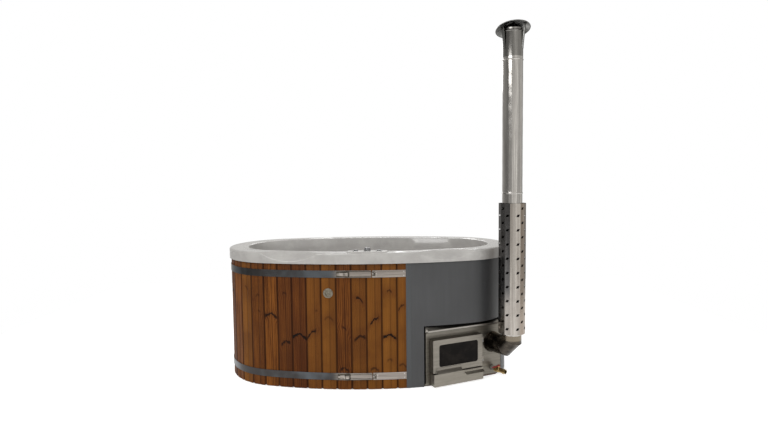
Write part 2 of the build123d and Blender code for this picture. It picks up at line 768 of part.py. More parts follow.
def latch_plate(length, pin_x):
    """Base plate with two ears that hold the pin."""
    half = LATCH_EAR_GAP / 2
    edge = HOOP_HEIGHT / 2 - LATCH_PLATE_MARGIN
    plate = box(-length / 2, length / 2, -LATCH_PLATE, 0, -edge, edge)
    plate = fillet(plate.edges().filter_by(Axis.Y), LATCH_PLATE_RADIUS)
    left = pin_x - LATCH_EAR_RADIUS
    right = pin_x + LATCH_EAR_RADIUS
    pieces = [plate]
    for side in (-1, 1):
        z1, z2 = sorted((side * half, side * (half + LATCH_EAR_SHEET)))
        ear = Pos(pin_x, -LATCH_PIN_LIFT, (z1 + z2) / 2) * Cylinder(LATCH_EAR_RADIUS, LATCH_EAR_SHEET)
        pieces.append(ear + box(left, right, -LATCH_PIN_LIFT, -LATCH_PLATE / 2, z1, z2))
    pin = Cylinder(LATCH_PIN_RADIUS, LATCH_EAR_GAP + LATCH_EAR_SHEET)
    pieces.append(Pos(pin_x, -LATCH_PIN_LIFT, 0) * pin)
    return join(pieces)


def make_latch_base():
    return BASE_FRAME * latch_plate(LATCH_BASE_LENGTH, LATCH_PIVOT_X)


def make_latch_eye():
    return EYE_FRAME * latch_plate(LATCH_EYE_LENGTH, 0)


def make_latch_lever():
    """Lever that lies along the hoop, with a groove that takes the bail."""
    half = LEVER_WIDTH / 2
    back = LATCH_PIN_LIFT - LATCH_PLATE - 1
    front = back - LEVER_SHEET - 1
    arm = box(-LEVER_LENGTH, 0, front, back, -half, half)
    arm = fillet(arm.edges().filter_by(Axis.Y).sort_by(Axis.X)[:2], half - LEVER_SHEET)
    ramp = box(-BAIL_SEAT - 4 * BAIL_WIRE_RADIUS, 0, -LATCH_EAR_RADIUS, back - 1, -half, half)
    tip_half = LEVER_TIP_WIDTH / 2
    tip_end = -LEVER_LENGTH - LEVER_TIP_LENGTH
    tip = box(tip_end, -LEVER_LENGTH + LEVER_SHEET + 1, front - LEVER_SHEET, front + 0.5, -tip_half, tip_half)
    lever = Cylinder(LATCH_EAR_RADIUS, LEVER_WIDTH) + arm + ramp + tip
    groove = Cylinder(BAIL_WIRE_RADIUS + 2 * BAIL_SEAT_CLEARANCE, 2 * LEVER_WIDTH)
    lever = lever - Pos(-BAIL_SEAT, -BAIL_SEAT_LIFT, 0) * groove
    lever = lever - Cylinder(LATCH_PIN_RADIUS + PIN_CLEARANCE, 2 * LEVER_WIDTH)
    return BASE_FRAME * Pos(LATCH_PIVOT_X, -LATCH_PIN_LIFT, 0) * lever


def make_latch_bail():
    """Wire loop that turns on the eye's pin and lies in the lever's groove."""
    seat = (BASE_FRAME * Pos(LATCH_PIVOT_X - BAIL_SEAT, -LATCH_PIN_LIFT - BAIL_SEAT_LIFT, 0)).position
    run = Vector(seat.X - EYE_PIN.X, seat.Y - EYE_PIN.Y)
    turn = math.degrees(math.atan2(run.Y, run.X)) - 180
    half = LATCH_EAR_GAP / 2 + LATCH_EAR_SHEET + 3 * BAIL_SEAT_CLEARANCE + BAIL_WIRE_RADIUS
    eye_out = 2 * LATCH_PIN_RADIUS
    flare = eye_out + BAIL_FLARE
    path = FilletPolyline(
        (-eye_out, 0, BAIL_NARROW), (-flare, 0, half), (-run.length, 0, half),
        (-run.length, 0, -half), (-flare, 0, -half), (-eye_out, 0, -BAIL_NARROW),
        radius=BAIL_CORNER_RADIUS,
    )
    section = Plane(origin=path.position_at(0), z_dir=path.tangent_at(0)) * Circle(BAIL_WIRE_RADIUS)
    wire = sweep(section, path=path)
    barrel_radius = eye_out + 2 * BAIL_SEAT_CLEARANCE
    barrel = Cylinder(barrel_radius, 2 * (BAIL_NARROW + BAIL_WIRE_RADIUS))
    barrel = barrel - Cylinder(LATCH_PIN_RADIUS + PIN_CLEARANCE, 2 * LATCH_EAR_GAP)
    return Location(EYE_PIN, (0, 0, turn)) * (wire + barrel)


# Controls on the raised deck

def on_deck(x, z=0):
    """Place over a control, measured from the top of the deck."""
    return (x, CONTROL_Y, RIM_TOP + DECK_RISE + z)


def make_bezel(x, bore):
    flange = Cylinder(BEZEL_RADIUS, BEZEL_HEIGHT, align=(Align.CENTER, Align.CENTER, Align.MIN))
    flange = chamfer(flange.faces().sort_by(Axis.Z)[-1].edges(), BEZEL_HEIGHT * 0.6)
    neck = Cylinder(BEZEL_NECK_RADIUS, CONTROL_NECK_LENGTH, align=(Align.CENTER, Align.CENTER, Align.MAX))
    blind = rod(bore + BUTTON_CLEARANCE, on_deck(x, -CONTROL_BORE_DEPTH), on_deck(x, 2 * BEZEL_HEIGHT))
    return Pos(*on_deck(x)) * (flange + neck) - blind


def make_bezels():
    bores = (BUTTON_RADIUS, KNOB_STEM_RADIUS, BUTTON_RADIUS)
    return [make_bezel(x, bore) for x, bore in zip(CONTROL_X, bores)]


def make_button(x):
    """Plunger with a dished, rounded top."""
    bottom = on_deck(x, BUTTON_TRAVEL + 2 - CONTROL_BORE_DEPTH)
    top = on_deck(x, BEZEL_HEIGHT + BUTTON_PROUD)
    button = rod(BUTTON_RADIUS, bottom, top)
    button = fillet(button.faces().sort_by(Axis.Z)[-1].edges(), BUTTON_DISH_DEPTH)
    return button - Pos(0, 0, BUTTON_DISH_RADIUS - BUTTON_DISH_DEPTH) * Pos(*top) * Sphere(BUTTON_DISH_RADIUS)


def make_knob():
    """Fluted, slightly tapered knob on a stem."""
    x = CONTROL_X[1]
    low = BEZEL_HEIGHT + SEAT_GAP
    upright = (Align.CENTER, Align.CENTER, Align.MIN)
    body = Cone(KNOB_RADIUS, KNOB_RADIUS - KNOB_TAPER, KNOB_HEIGHT, align=upright)
    body = fillet(body.faces().sort_by(Axis.Z)[-1].edges(), BEZEL_HEIGHT)
    for k in range(KNOB_FLUTES):
        flute = Pos(KNOB_RADIUS + 1.5, 0, KNOB_HEIGHT / 2) * Cylinder(KNOB_FLUTE_RADIUS, KNOB_HEIGHT + 2)
        body = body - Rot(0, 0, 360 / KNOB_FLUTES * k) * flute
    stem = rod(KNOB_STEM_RADIUS, on_deck(x, low + 1 - CONTROL_BORE_DEPTH), on_deck(x, low + 1))
    return Pos(*on_deck(x, low)) * body + stem


# Overflow

def overflow_frame(offset):
    """Local Z points out of the wall."""
    return station(OVERFLOW_STATION, offset, OVERFLOW_Z) * Rot(90, 0, 0)


def basin_offset_at(z):
    """How far inside the wall the basin's outer face lies on the front, at a height."""
    inset = (TUB_WIDTH - OPENING_WIDTH) / 2 - SHELL_WALL
    return -inset - (RIM_TOP - z) * math.tan(math.radians(BOWL_TAPER))


def overflow_way():
    """Clearance for the overflow pipe through cladding and basin."""
    radius = OVERFLOW_PIPE_BORE_RADIUS + OVERFLOW_PIPE_WALL + SEAT_GAP
    return overflow_frame(0) * Cylinder(radius, OVERFLOW_REACH)


def make_overflow_fitting():
    upright = (Align.CENTER, Align.CENTER, Align.MIN)
    radius = OVERFLOW_FLANGE_RADIUS
    height = OVERFLOW_FLANGE_HEIGHT
    flange = Cone(radius, radius - height + 1, height, align=upright)
    flange = fillet(flange.faces().sort_by(Axis.Z)[-1].edges(), height / 2 - 0.5)
    collar_radius = OVERFLOW_BORE_RADIUS + OVERFLOW_COLLAR_WALL
    collar = Cylinder(collar_radius, height + OVERFLOW_COLLAR_HEIGHT, align=upright)
    bore = Cylinder(OVERFLOW_BORE_RADIUS, OVERFLOW_REACH)
    return overflow_frame(SEAT_GAP) * (flange + collar - bore)


def make_overflow_pipe():
    """Pipe from the basin's wall to the back of the fitting's flange."""
    inner = basin_offset_at(OVERFLOW_Z) - SHELL_WALL - OVERFLOW_PIPE_WALL
    outer = OVERFLOW_PIPE_BORE_RADIUS + OVERFLOW_PIPE_WALL
    pipe = Cylinder(outer, -inner, align=(Align.CENTER, Align.CENTER, Align.MIN))
    return overflow_frame(inner) * (pipe - Cylinder(OVERFLOW_PIPE_BORE_RADIUS, OVERFLOW_REACH))


# Stove

def doorway():
    """Opening behind the door, through panel and firebox."""
    left = DOOR_LEFT + DOORWAY_SIDE_MARGIN
    right = DOOR_LEFT + DOOR_WIDTH - DOORWAY_SIDE_MARGIN
    low = DOOR_BOTTOM + DOORWAY_MARGIN
    high = DOOR_BOTTOM + DOOR_HEIGHT - DOORWAY_MARGIN
    return block(left, right, -4 * STOVE_SHEET, 4 * STOVE_SHEET, low, high)


def flue_hole():
    radius = PIPE_RADIUS + FLUE_HOLE_CLEARANCE
    return rod(radius, along_out(STUB, -ELBOW_CUT, FLUE_STUB_Z), along_out(STUB, ELBOW_CUT, FLUE_STUB_Z))


def make_face_panel():
    """Front plate with folded lips, an opening for the fire and a slot for the ash drawer."""
    panel = block(PANEL_LEFT, PANEL_RIGHT, -PANEL_SHEET, 0, PLATE_THICKNESS + 1, PANEL_TOP)
    left_edge = PANEL_LEFT + PANEL_SHEET
    left_lip = block(PANEL_LEFT, left_edge, 0, PANEL_SIDE_LIP, 2 * PLATE_THICKNESS, PANEL_TOP)
    top_lip = block(PANEL_LEFT, PANEL_RIGHT, 0, PANEL_TOP_LIP, PANEL_TOP - PANEL_SHEET, PANEL_TOP)
    slot_left = DOOR_LEFT + TRAY_MARGIN - TRAY_SLOT_CLEARANCE
    slot_right = DOOR_LEFT + DOOR_WIDTH - TRAY_MARGIN + TRAY_SLOT_CLEARANCE
    depth = 2 * PANEL_SHEET
    slot = block(slot_left, slot_right, -depth, depth, PLATE_THICKNESS, TRAY_TOP + TRAY_SLOT_HEADROOM)
    panel = STOVE * (panel + left_lip + top_lip - doorway() - slot)
    start = along_out(DRAIN_START, -DRAIN_BEND, DRAIN_Z)
    drain_hole = rod(DRAIN_PIPE_RADIUS + 2, start, along_out(DRAIN_START, DRAIN_BEND, DRAIN_Z))
    return panel - flue_hole() - drain_hole


def make_stove_body():
    """Welded box: ash chamber below, fire above it, and a smoke box to the right that the flue leaves."""
    back = -PANEL_SHEET
    t = STOVE_SHEET
    e1 = FIREBOX_LEFT
    e2 = STOVE_RIGHT_LOW
    firebox = block(e1, e2, -FIREBOX_DEPTH, back, PLATE_THICKNESS, STOVE_TOP)
    flue_box = block(e2 - t, PANEL_RIGHT, -FLUE_BOX_DEPTH, back, FLUE_BOX_BOTTOM, STOVE_TOP)
    ash = block(e1 + t, e2 - t, -FIREBOX_DEPTH + t, PANEL_SHEET, PLATE_THICKNESS + t, ASH_TOP)
    fire = block(e1 + t, e2 - t, -FIREBOX_DEPTH + t, back - t, ASH_TOP + t, STOVE_TOP - t)
    smoke_back = -FLUE_BOX_DEPTH + t
    smoke = block(e2 - 2 * t, PANEL_RIGHT - t, smoke_back, back - t, FLUE_BOX_BOTTOM + t, STOVE_TOP - t)
    grate_right = GRATE_LEFT + GRATE_WIDTH
    grate_back = GRATE_FRONT + GRATE_LENGTH
    grate_way = block(GRATE_LEFT, grate_right, -grate_back, -GRATE_FRONT, ASH_TOP - t, ASH_TOP + 2 * t)
    body = STOVE * (firebox + flue_box - ash - fire - smoke - doorway() - grate_way) - flue_hole()
    for z in WATER_PIPE_Z:
        start = stove_point(e1 + 2 * t, -WATER_PIPE_DEPTH, z)
        end = stove_point(e1 - 2 * t, -WATER_PIPE_DEPTH, z)
        body = body - rod(WATER_PIPE_RADIUS - WATER_PIPE_WALL, start, end)
    return body


def make_fire_grate():
    """Cast grate that lies over the opening above the ash drawer."""
    low = ASH_TOP + STOVE_SHEET
    left = GRATE_LEFT - GRATE_LAP
    right = GRATE_LEFT + GRATE_WIDTH + GRATE_LAP
    front = GRATE_FRONT - GRATE_LAP
    back = GRATE_FRONT + GRATE_LENGTH + GRATE_LAP
    grate = block(left, right, -back, -front, low, low + GRATE_THICKNESS)
    gap = (GRATE_WIDTH - 2 * GRATE_SLOT_MARGIN) / GRATE_BARS
    middle = GRATE_FRONT + GRATE_LENGTH / 2
    slot = Box(gap * 0.55, GRATE_SLOT_LENGTH, 3 * GRATE_THICKNESS)
    for k in range(GRATE_BARS):
        e = GRATE_LEFT + GRATE_SLOT_MARGIN + gap * (k + 0.5)
        grate = grate - Pos(e, middle, low + GRATE_THICKNESS / 2) * slot
    return STOVE * grate


def make_hood_strip():
    """Folded strip that stands on the stove behind the panel and sheds water in front of it."""
    t = HOOD_SHEET
    back = -PANEL_SHEET
    fold = HOOD_EDGE_Z - HOOD_LIP_DROP + HOOD_LIP
    lip = HOOD_EDGE_Z - HOOD_LIP_DROP
    outline = [
        (back - t, HOOD_TOP), (back, HOOD_TOP), (HOOD_FRONT, fold), (HOOD_FRONT, lip),
        (HOOD_FRONT - t, lip), (HOOD_FRONT - t, fold - t), (back, HOOD_TOP - t),
        (back, STOVE_TOP), (back - t, STOVE_TOP),
    ]
    profile = make_face(Polyline(*[(0, -n, z) for n, z in outline], close=True))
    left = PANEL_LEFT + HOOD_LEFT_MARGIN
    strip = extrude(profile, amount=PANEL_RIGHT - HOOD_RIGHT_MARGIN - left, dir=(1, 0, 0))
    return STOVE * Pos(left, 0, 0) * strip


GLASS_E = DOOR_LEFT + GLASS_LEFT + GLASS_WIDTH / 2
GLASS_Z = DOOR_BOTTOM + GLASS_LOW + GLASS_HEIGHT / 2
GLASS_FRONT = DOOR_FRONT - DOOR_SHEET - SEAT_GAP
HINGE_E = DOOR_LEFT + DOOR_WIDTH + HINGE_OFFSET
HINGE_Z = [DOOR_BOTTOM + lift for lift in HINGE_LIFTS]


def make_door_shell():
    """Box-shaped door, folded from sheet and open at the back, with a rounded window."""
    e1 = DOOR_LEFT
    e2 = DOOR_LEFT + DOOR_WIDTH
    z1 = DOOR_BOTTOM
    z2 = DOOR_BOTTOM + DOOR_HEIGHT
    t = DOOR_SHEET
    shell = block(e1, e2, DOOR_BACK, DOOR_FRONT, z1, z2)
    shell = fillet(shell.edges().filter_by(Axis.Y), DOOR_CORNER_RADIUS)
    shell = shell - block(e1 + t, e2 - t, DOOR_BACK - t, DOOR_FRONT - t, z1 + t, z2 - t)
    plan = Plane.XZ * RectangleRounded(GLASS_WIDTH, GLASS_HEIGHT, GLASS_CORNER_RADIUS)
    shell = shell - Pos(GLASS_E, 0, GLASS_Z) * extrude(plan, amount=2 * DOOR_FRONT)
    for z in HINGE_Z:
        shell = shell + hinge_barrel(z, z + HINGE_BARREL_LENGTH, e2 - t)
    return STOVE * shell


def hinge_barrel(z1, z2, plate_e):
    """Knuckle with its web to the plate it belongs to."""
    place = Pos(HINGE_E, -HINGE_N, (z1 + z2) / 2)
    barrel = place * Cylinder(HINGE_BARREL_RADIUS, z2 - z1)
    web = block(plate_e, HINGE_E, HINGE_N + 1, HINGE_N + HINGE_BARREL_RADIUS - 0.5, z1, z2)
    bore = place * Cylinder(HINGE_PIN_RADIUS + HINGE_CLEARANCE, 2 * (z2 - z1))
    return barrel + web - bore


def make_hinge_brackets():
    """Fixed lugs under each door knuckle, on arms from the face panel."""
    pieces = []
    for z in HINGE_Z:
        high = z - SEAT_GAP
        low = high - HINGE_LUG_LENGTH
        lug = Pos(HINGE_E, -HINGE_N, (low + high) / 2) * Cylinder(HINGE_BARREL_RADIUS, HINGE_LUG_LENGTH)
        arm = block(HINGE_E - 2, HINGE_E + 4, 0, HINGE_N, low, high)
        pieces.append(STOVE * (lug + arm))
    return pieces


def make_hinge_pins():
    length = HINGE_BARREL_LENGTH + 2
    pin = Cylinder(HINGE_PIN_RADIUS, length, align=(Align.CENTER, Align.CENTER, Align.MIN))
    return [STOVE * Pos(HINGE_E, -HINGE_N, z - SEAT_GAP) * pin for z in HINGE_Z]


def make_door_glass():
    """Pane against the back of the door's front."""
    half_width = GLASS_WIDTH / 2 + GLASS_MARGIN
    half_height = GLASS_HEIGHT / 2 + GLASS_MARGIN
    back = GLASS_FRONT - GLASS_THICKNESS
    low = GLASS_Z - half_height
    glass = block(GLASS_E - half_width, GLASS_E + half_width, back, GLASS_FRONT, low, GLASS_Z + half_height)
    return STOVE * fillet(glass.edges().filter_by(Axis.Y), GLASS_CORNER_RADIUS / 2)


def make_glass_clips():
    """Strips above and below the glass that hold it to the door's front."""
    left = GLASS_E - CLIP_LENGTH / 2
    right = GLASS_E + CLIP_LENGTH / 2
    half = GLASS_HEIGHT / 2 + GLASS_MARGIN
    back = GLASS_FRONT - GLASS_THICKNESS - SEAT_GAP - DOOR_SHEET
    clips = []
    for side in (-1, 1):
        z1, z2 = sorted((GLASS_Z + side * (half - CLIP_LAP), GLASS_Z + side * (half + CLIP_LAP)))
        lap = block(left, right, back, back + DOOR_SHEET, z1, z2)
        z3, z4 = sorted((GLASS_Z + side * (half + 1), GLASS_Z + side * (half + CLIP_LAP)))
        foot = block(left, right, back, DOOR_FRONT - DOOR_SHEET, z3, z4)
        clips.append(STOVE * (lap + foot))
    return clips


def folded_pull(e1, e2, n, z_top, z_fold, depth, sheet):
    """Strip fixed flat to a front, folded out and down to be gripped."""
    drop = depth * 0.75
    outline = [
        (n, z_top), (n + sheet, z_top), (n + sheet, z_fold), (n + sheet + depth, z_fold - drop),
        (n + sheet + depth - sheet * 0.6, z_fold - drop - sheet * 0.8), (n, z_fold - sheet * 0.9),
    ]
    profile = make_face(Polyline(*[(0, -a, z) for a, z in outline], close=True))
    return Pos(e1, 0, 0) * extrude(profile, amount=e2 - e1, dir=(1, 0, 0))


def make_door_pull():
    left = DOOR_LEFT + DOOR_PULL_LEFT
    top = DOOR_BOTTOM + DOOR_PULL_TOP
    fold = top - DOOR_PULL_FOLD
    pull = folded_pull(left, left + DOOR_PULL_WIDTH, DOOR_FRONT, top, fold, DOOR_PULL_DEPTH, DOOR_SHEET)
    return STOVE * pull


def make_ash_drawer():
    """Tray that slides under the grate, behind a folded front with its pull."""
    t = DRAWER_SHEET
    e1 = DOOR_LEFT + DRAWER_SHIFT
    e2 = DOOR_LEFT + DOOR_WIDTH + DRAWER_SHIFT
    front = block(e1, e2, DRAWER_SHIFT, DRAWER_FRONT, DRAWER_BOTTOM, DRAWER_TOP)
    front = fillet(front.edges().filter_by(Axis.Y), t + 1)
    front = front - block(e1 + t, e2 - t, -t, DRAWER_FRONT - t, DRAWER_BOTTOM + t, DRAWER_TOP - t)
    tray_left = DOOR_LEFT + TRAY_MARGIN
    tray_right = DOOR_LEFT + DOOR_WIDTH - TRAY_MARGIN
    low = PLATE_THICKNESS + STOVE_SHEET + TRAY_CLEARANCE
    tray = block(tray_left, tray_right, -TRAY_DEPTH, DRAWER_FRONT - t / 2, low, TRAY_TOP)
    inside = block(tray_left + t, tray_right - t, -TRAY_DEPTH + t, DRAWER_FRONT - t, low + t, TRAY_TOP + t)
    tray = tray - inside
    right = e2 - DRAWER_SHIFT
    top = DRAWER_TOP - DRAWER_PULL_DROP
    fold = top - DRAWER_PULL_FOLD
    pull = folded_pull(right - DRAWER_PULL_WIDTH, right, DRAWER_FRONT, top, fold, DRAWER_PULL_DEPTH, t)
    return STOVE * (front + tray + pull)


def make_water_pipes():
    """Pipes that carry the water between stove and basin."""
    wall_x = WELL_RIGHT + SHELL_WALL + SEAT_GAP
    keep = box(wall_x, TUB_LENGTH, -TUB_WIDTH, TUB_WIDTH, 0, RIM_TOP)
    pipes = []
    for z in WATER_PIPE_Z:
        start = stove_point(FIREBOX_LEFT - SEAT_GAP, -WATER_PIPE_DEPTH, z)
        end = stove_point(FIREBOX_LEFT - WATER_PIPE_LENGTH, -WATER_PIPE_DEPTH, z)
        pipes.append(tube(WATER_PIPE_RADIUS, WATER_PIPE_RADIUS - WATER_PIPE_WALL, start, end) & keep)
    return pipes


def make_inlet_grilles():
    """Round slotted covers over both pipes, on the well's end wall."""
    disc = Cylinder(GRILLE_RADIUS, GRILLE_THICKNESS)
    disc = fillet(disc.faces().sort_by(Axis.Z)[-1].edges(), GRILLE_THICKNESS / 3)
    slot = Pos(GRILLE_SLOT_RING, 0, 0) * Box(GRILLE_SLOT_LENGTH, GRILLE_SLOT_WIDTH, 3 * GRILLE_THICKNESS)
    for k in range(GRILLE_SLOTS):
        disc = disc - Rot(0, 0, 360 / GRILLE_SLOTS * k) * slot
    x = WELL_RIGHT - SEAT_GAP - GRILLE_THICKNESS / 2
    return [Location((x, WATER_Y, z), (0, -90, 0)) * disc for z in WATER_PIPE_Z]


# Flue

def beyond(point, normal):
    """All that lies past a plane, for cutting a mitre."""
    return extrude(Plane(origin=point, z_dir=normal) * Circle(6 * PIPE_RADIUS), amount=12 * PIPE_RADIUS)


def make_flue_elbow():
    """Stub through the face panel, mitred bend and short riser, all one welded piece."""
    level = Vector(OUT[0], OUT[1], 0)
    up = Vector(0, 0, 1)
    oblique = (level + up).normalized()
    first = (level + oblique).normalized()
    second = (oblique + up).normalized()
    start = along_out(STUB, -FLUE_STUB_INSIDE, FLUE_STUB_Z)
    low_joint = Vector(*along_out(STUB, FLUE_STUB_REACH - ELBOW_CUT, FLUE_STUB_Z))
    high_joint = Vector(FLUE_X, FLUE_Y, FLUE_STUB_Z + ELBOW_CUT)
    spare = 2 * PIPE_RADIUS
    r = PIPE_RADIUS
    t = PIPE_SHEET
    stub = tube(r, r - t, start, low_joint + level * spare) - beyond(low_joint, first)
    bend = tube(r, r - t, low_joint - oblique * spare, high_joint + oblique * spare)
    bend = bend - beyond(low_joint, -first) - beyond(high_joint, second)
    riser = tube(r, r - t, high_joint - up * spare, (FLUE_X, FLUE_Y, LOWER_PIPE_BOTTOM))
    riser = riser - beyond(high_joint, -second)
    collar = tube(r + COLLAR_WIDTH, r - t / 2, start, along_out(STUB, COLLAR_WIDTH * 3, FLUE_STUB_Z))
    collar = collar & (STOVE * block(0, PANEL_RIGHT + PIPE_RADIUS, SEAT_GAP, COLLAR_THICKNESS, 0, PANEL_TOP))
    return stub + bend + riser + collar


def make_pipe(bottom, top):
    """Push-fit pipe: a bead near its top and a reduced spigot below."""
    r = PIPE_RADIUS
    t = PIPE_SHEET
    low = top - BEAD_DROP - BEAD_WIDTH / 2
    high = top - BEAD_DROP + BEAD_WIDTH / 2
    middle = top - BEAD_DROP
    spigot = r - SPIGOT_STEP
    end = bottom - SPIGOT_LENGTH
    outer = [(r, bottom), (r, low), (r + BEAD_HEIGHT, middle), (r, high), (r, top)]
    bore = r - t
    inner = [(bore, top), (bore, high), (bore + BEAD_HEIGHT, middle), (bore, low), (bore, bottom + 4 * t)]
    tail = [(spigot - t, bottom), (spigot - t, end), (spigot, end), (spigot, bottom)]
    profile = make_face(Polyline(*[(x, 0, z) for x, z in outer + inner + tail], close=True))
    return Pos(FLUE_X, FLUE_Y, 0) * revolve(profile, Axis.Z)


def shield_polygon(flats):
    """Sixteen-sided outline with the middle of a facet at the shield's turn."""
    turn = SHIELD_TURN + 180 / SHIELD_SIDES
    return RegularPolygon(flats / 2, SHIELD_SIDES, major_radius=False, rotation=turn)


def hole_prism(turn, z):
    """Slanted lozenge cut through one facet."""
    w = HOLE_WIDTH / 2
    h = HOLE_HEIGHT / 2
    s = HOLE_SLANT / 2
    points = [(-w - s, -h), (w - s, -h), (w + s, h), (-w + s, h)]
    profile = Plane.XZ * make_face(Polyline(*points, close=True))
    return Rot(0, 0, turn) * Pos(0, 0, z) * extrude(profile, amount=SHIELD_FLATS)


def make_heat_shield():
    skin = shield_polygon(SHIELD_FLATS) - shield_polygon(SHIELD_FLATS - 2 * SHIELD_SHEET)
    shield = extrude(skin, amount=SHIELD_TOP - SHIELD_BOTTOM)
    step = 360 / SHIELD_SIDES
    cutters = []
    for facet in range(SHIELD_SIDES):
        place = facet % 4
        if place == 3:
            continue
        shift = SHIELD_PITCH / 2 if place == 1 else 0
        for row in range(SHIELD_ROWS):
            z = FIRST_HOLE + shift + row * SHIELD_PITCH
            cutters.append(hole_prism(SHIELD_TURN + 90 + step * facet, z))
    shield = shield - cutters
    return Pos(FLUE_X, FLUE_Y, SHIELD_BOTTOM) * shield


def make_shield_spacers():
    """Angle clips between the pipe and the shield, three at each end."""
    near = PIPE_RADIUS + SEAT_GAP
    far = SHIELD_FLATS / 2 - SHIELD_SHEET - SEAT_GAP
    half = SPACER_WIDTH / 2
    t = SPACER_SHEET
    web = box(near, far, -half, half, 0, t)
    foot = box(near, near + t, -half, half, 0, SPACER_TAB + t)
    tab = box(far - t, far, -half, half, -SPACER_TAB, t)
    clip = web + foot + tab - Cylinder(near, 4 * SPACER_TAB)
    clips = []
    for z in (SHIELD_BOTTOM + SPACER_TAB + 4 * t, SHIELD_TOP - SPACER_TAB - 9 * t):
        for k in range(3):
            turn = SHIELD_TURN + 360 / SHIELD_SIDES * (3 + 4 * k)
            clips.append(Pos(FLUE_X, FLUE_Y, z) * Rot(0, 0, turn) * clip)
    return clips


def cap_plane():
    """Plane of the cap's edge, leaning back from the front and a little to one side."""
    return Pos(FLUE_X, FLUE_Y, CAP_EDGE_Z) * Rot(0, -CAP_TILT, 0) * Rot(-CAP_LEAN, 0, 0)


def cap_inside(radius):
    """Height of the cone's underside above its edge, outside the shoulder."""
    rise = CAP_SHOULDER - 1.2 * CAP_SHEET - CAP_LIP
    return CAP_LIP + rise * (CAP_RADIUS - CAP_LIP - radius) / (CAP_RADIUS / 2 - CAP_LIP)


def make_cap_cone():
    """Shallow cone, steeper inside its shoulder, with a rolled lip."""
    shoulder = CAP_RADIUS / 2
    profile = [
        (0, CAP_HEIGHT), (shoulder, CAP_SHOULDER), (CAP_RADIUS, 4), (CAP_RADIUS + 1.5, 0),
        (CAP_RADIUS - 0.5, -1.5), (CAP_RADIUS - CAP_LIP, CAP_LIP),
        (shoulder, cap_inside(shoulder)), (0, CAP_HEIGHT - 1.2 * CAP_SHEET),
    ]
    face = make_face(Polyline(*[(x, 0, z) for x, z in profile], close=True))
    return cap_plane() * revolve(face, Axis.Z)


def make_cap_legs():
    """Three straps from the sleeve up and out to pads under the cone, each cut off along its pad."""
    legs = []
    t = CAP_LEG_SHEET
    r = PIPE_RADIUS + SEAT_GAP
    half = CAP_PAD_LENGTH / 2
    fall = cap_inside(CAP_LEG_RING - half) - cap_inside(CAP_LEG_RING + half)
    slope = math.degrees(math.atan2(fall, CAP_PAD_LENGTH))
    pad_z = cap_inside(CAP_LEG_RING) - 2 * SEAT_GAP - t / 2 / math.cos(math.radians(slope))
    low = CAP_LEG_BOTTOM
    bend = low + CAP_LEG_STRAIGHT
    above = box(-CAP_RADIUS, CAP_RADIUS, -CAP_RADIUS, CAP_RADIUS, 0, CAP_RADIUS)
    for angle in CAP_LEG_ANGLES:
        seat = cap_plane() * Rot(0, 0, angle) * Pos(CAP_LEG_RING, 0, pad_z) * Rot(0, slope, 0)
        pad = seat * Box(CAP_PAD_LENGTH, CAP_LEG_WIDTH, t)
        place = seat.position - Vector(FLUE_X, FLUE_Y, 0)
        reach = math.hypot(place.X, place.Y)
        top = place.Z + CAP_LEG_WIDTH / 4
        outline = [
            (r - 1, low), (r + t, low), (r + t, bend), (reach + t, top),
            (reach - t, top), (r, bend + t), (r - 1, bend),
        ]
        face = make_face(Polyline(*[(x, 0, z) for x, z in outline], close=True))
        strap = extrude(face, amount=CAP_LEG_WIDTH / 2, both=True) - Cylinder(r, 3 * SLEEVE_TOP)
        turn = math.degrees(math.atan2(place.Y, place.X))
        strap = Pos(FLUE_X, FLUE_Y, 0) * Rot(0, 0, turn) * strap - seat * above
        legs.append(strap + pad)
    return legs


# Drain

def drain_line(distance):
    return along_out(DRAIN_START, distance, DRAIN_Z)


def make_drain_pipe():
    """Pipe from the floor drain, round the back of the stove and out through the face panel."""
    bend = drain_line(-DRAIN_BEND)
    turn = math.radians(STOVE_TURN)
    corner = (bend[0] - (DRAIN_BACK_Y - bend[1]) * math.tan(turn), DRAIN_BACK_Y, DRAIN_Z)
    below_well = (WELL_DRAIN_X, 0, DRAIN_Z)
    behind_well = (WELL_DRAIN_X, DRAIN_BACK_Y, DRAIN_Z)
    path = FilletPolyline(below_well, behind_well, corner, bend, drain_line(VALVE_START), radius=DRAIN_BEND)
    start = Plane(origin=path.position_at(0), z_dir=path.tangent_at(0))
    outer = sweep(start * Circle(DRAIN_PIPE_RADIUS), path=path)
    inner = sweep(start * Circle(DRAIN_BORE_RADIUS), path=path)
    sump_radius = DRAIN_PIPE_RADIUS + SUMP_MARGIN
    top = (WELL_DRAIN_X, 0, WELL_FLOOR - SHELL_WALL - SEAT_GAP)
    sump = rod(sump_radius, (WELL_DRAIN_X, 0, DRAIN_Z - sump_radius), top)
    bore_bottom = (WELL_DRAIN_X, 0, DRAIN_Z - 2 * SUMP_MARGIN)
    sump_bore = rod(DRAIN_BORE_RADIUS, bore_bottom, (WELL_DRAIN_X, 0, WELL_FLOOR))
    return outer + sump - inner - sump_bore


def make_floor_drain():
    """Round grate over the drain hole in the well's floor."""
    disc = Cylinder(WELL_DRAIN_RADIUS, WELL_DRAIN_THICKNESS, align=(Align.CENTER, Align.CENTER, Align.MIN))
    disc = fillet(disc.faces().sort_by(Axis.Z)[-1].edges(), 2)
    hole = Pos(WELL_DRAIN_HOLE_RING, 0, 0) * Cylinder(WELL_DRAIN_HOLE_RADIUS, 4 * WELL_DRAIN_THICKNESS)
    for k in range(WELL_DRAIN_HOLES):
        disc = disc - Rot(0, 0, 360 / WELL_DRAIN_HOLES * k) * hole
    return Pos(WELL_DRAIN_X, 0, WELL_FLOOR + SEAT_GAP) * disc


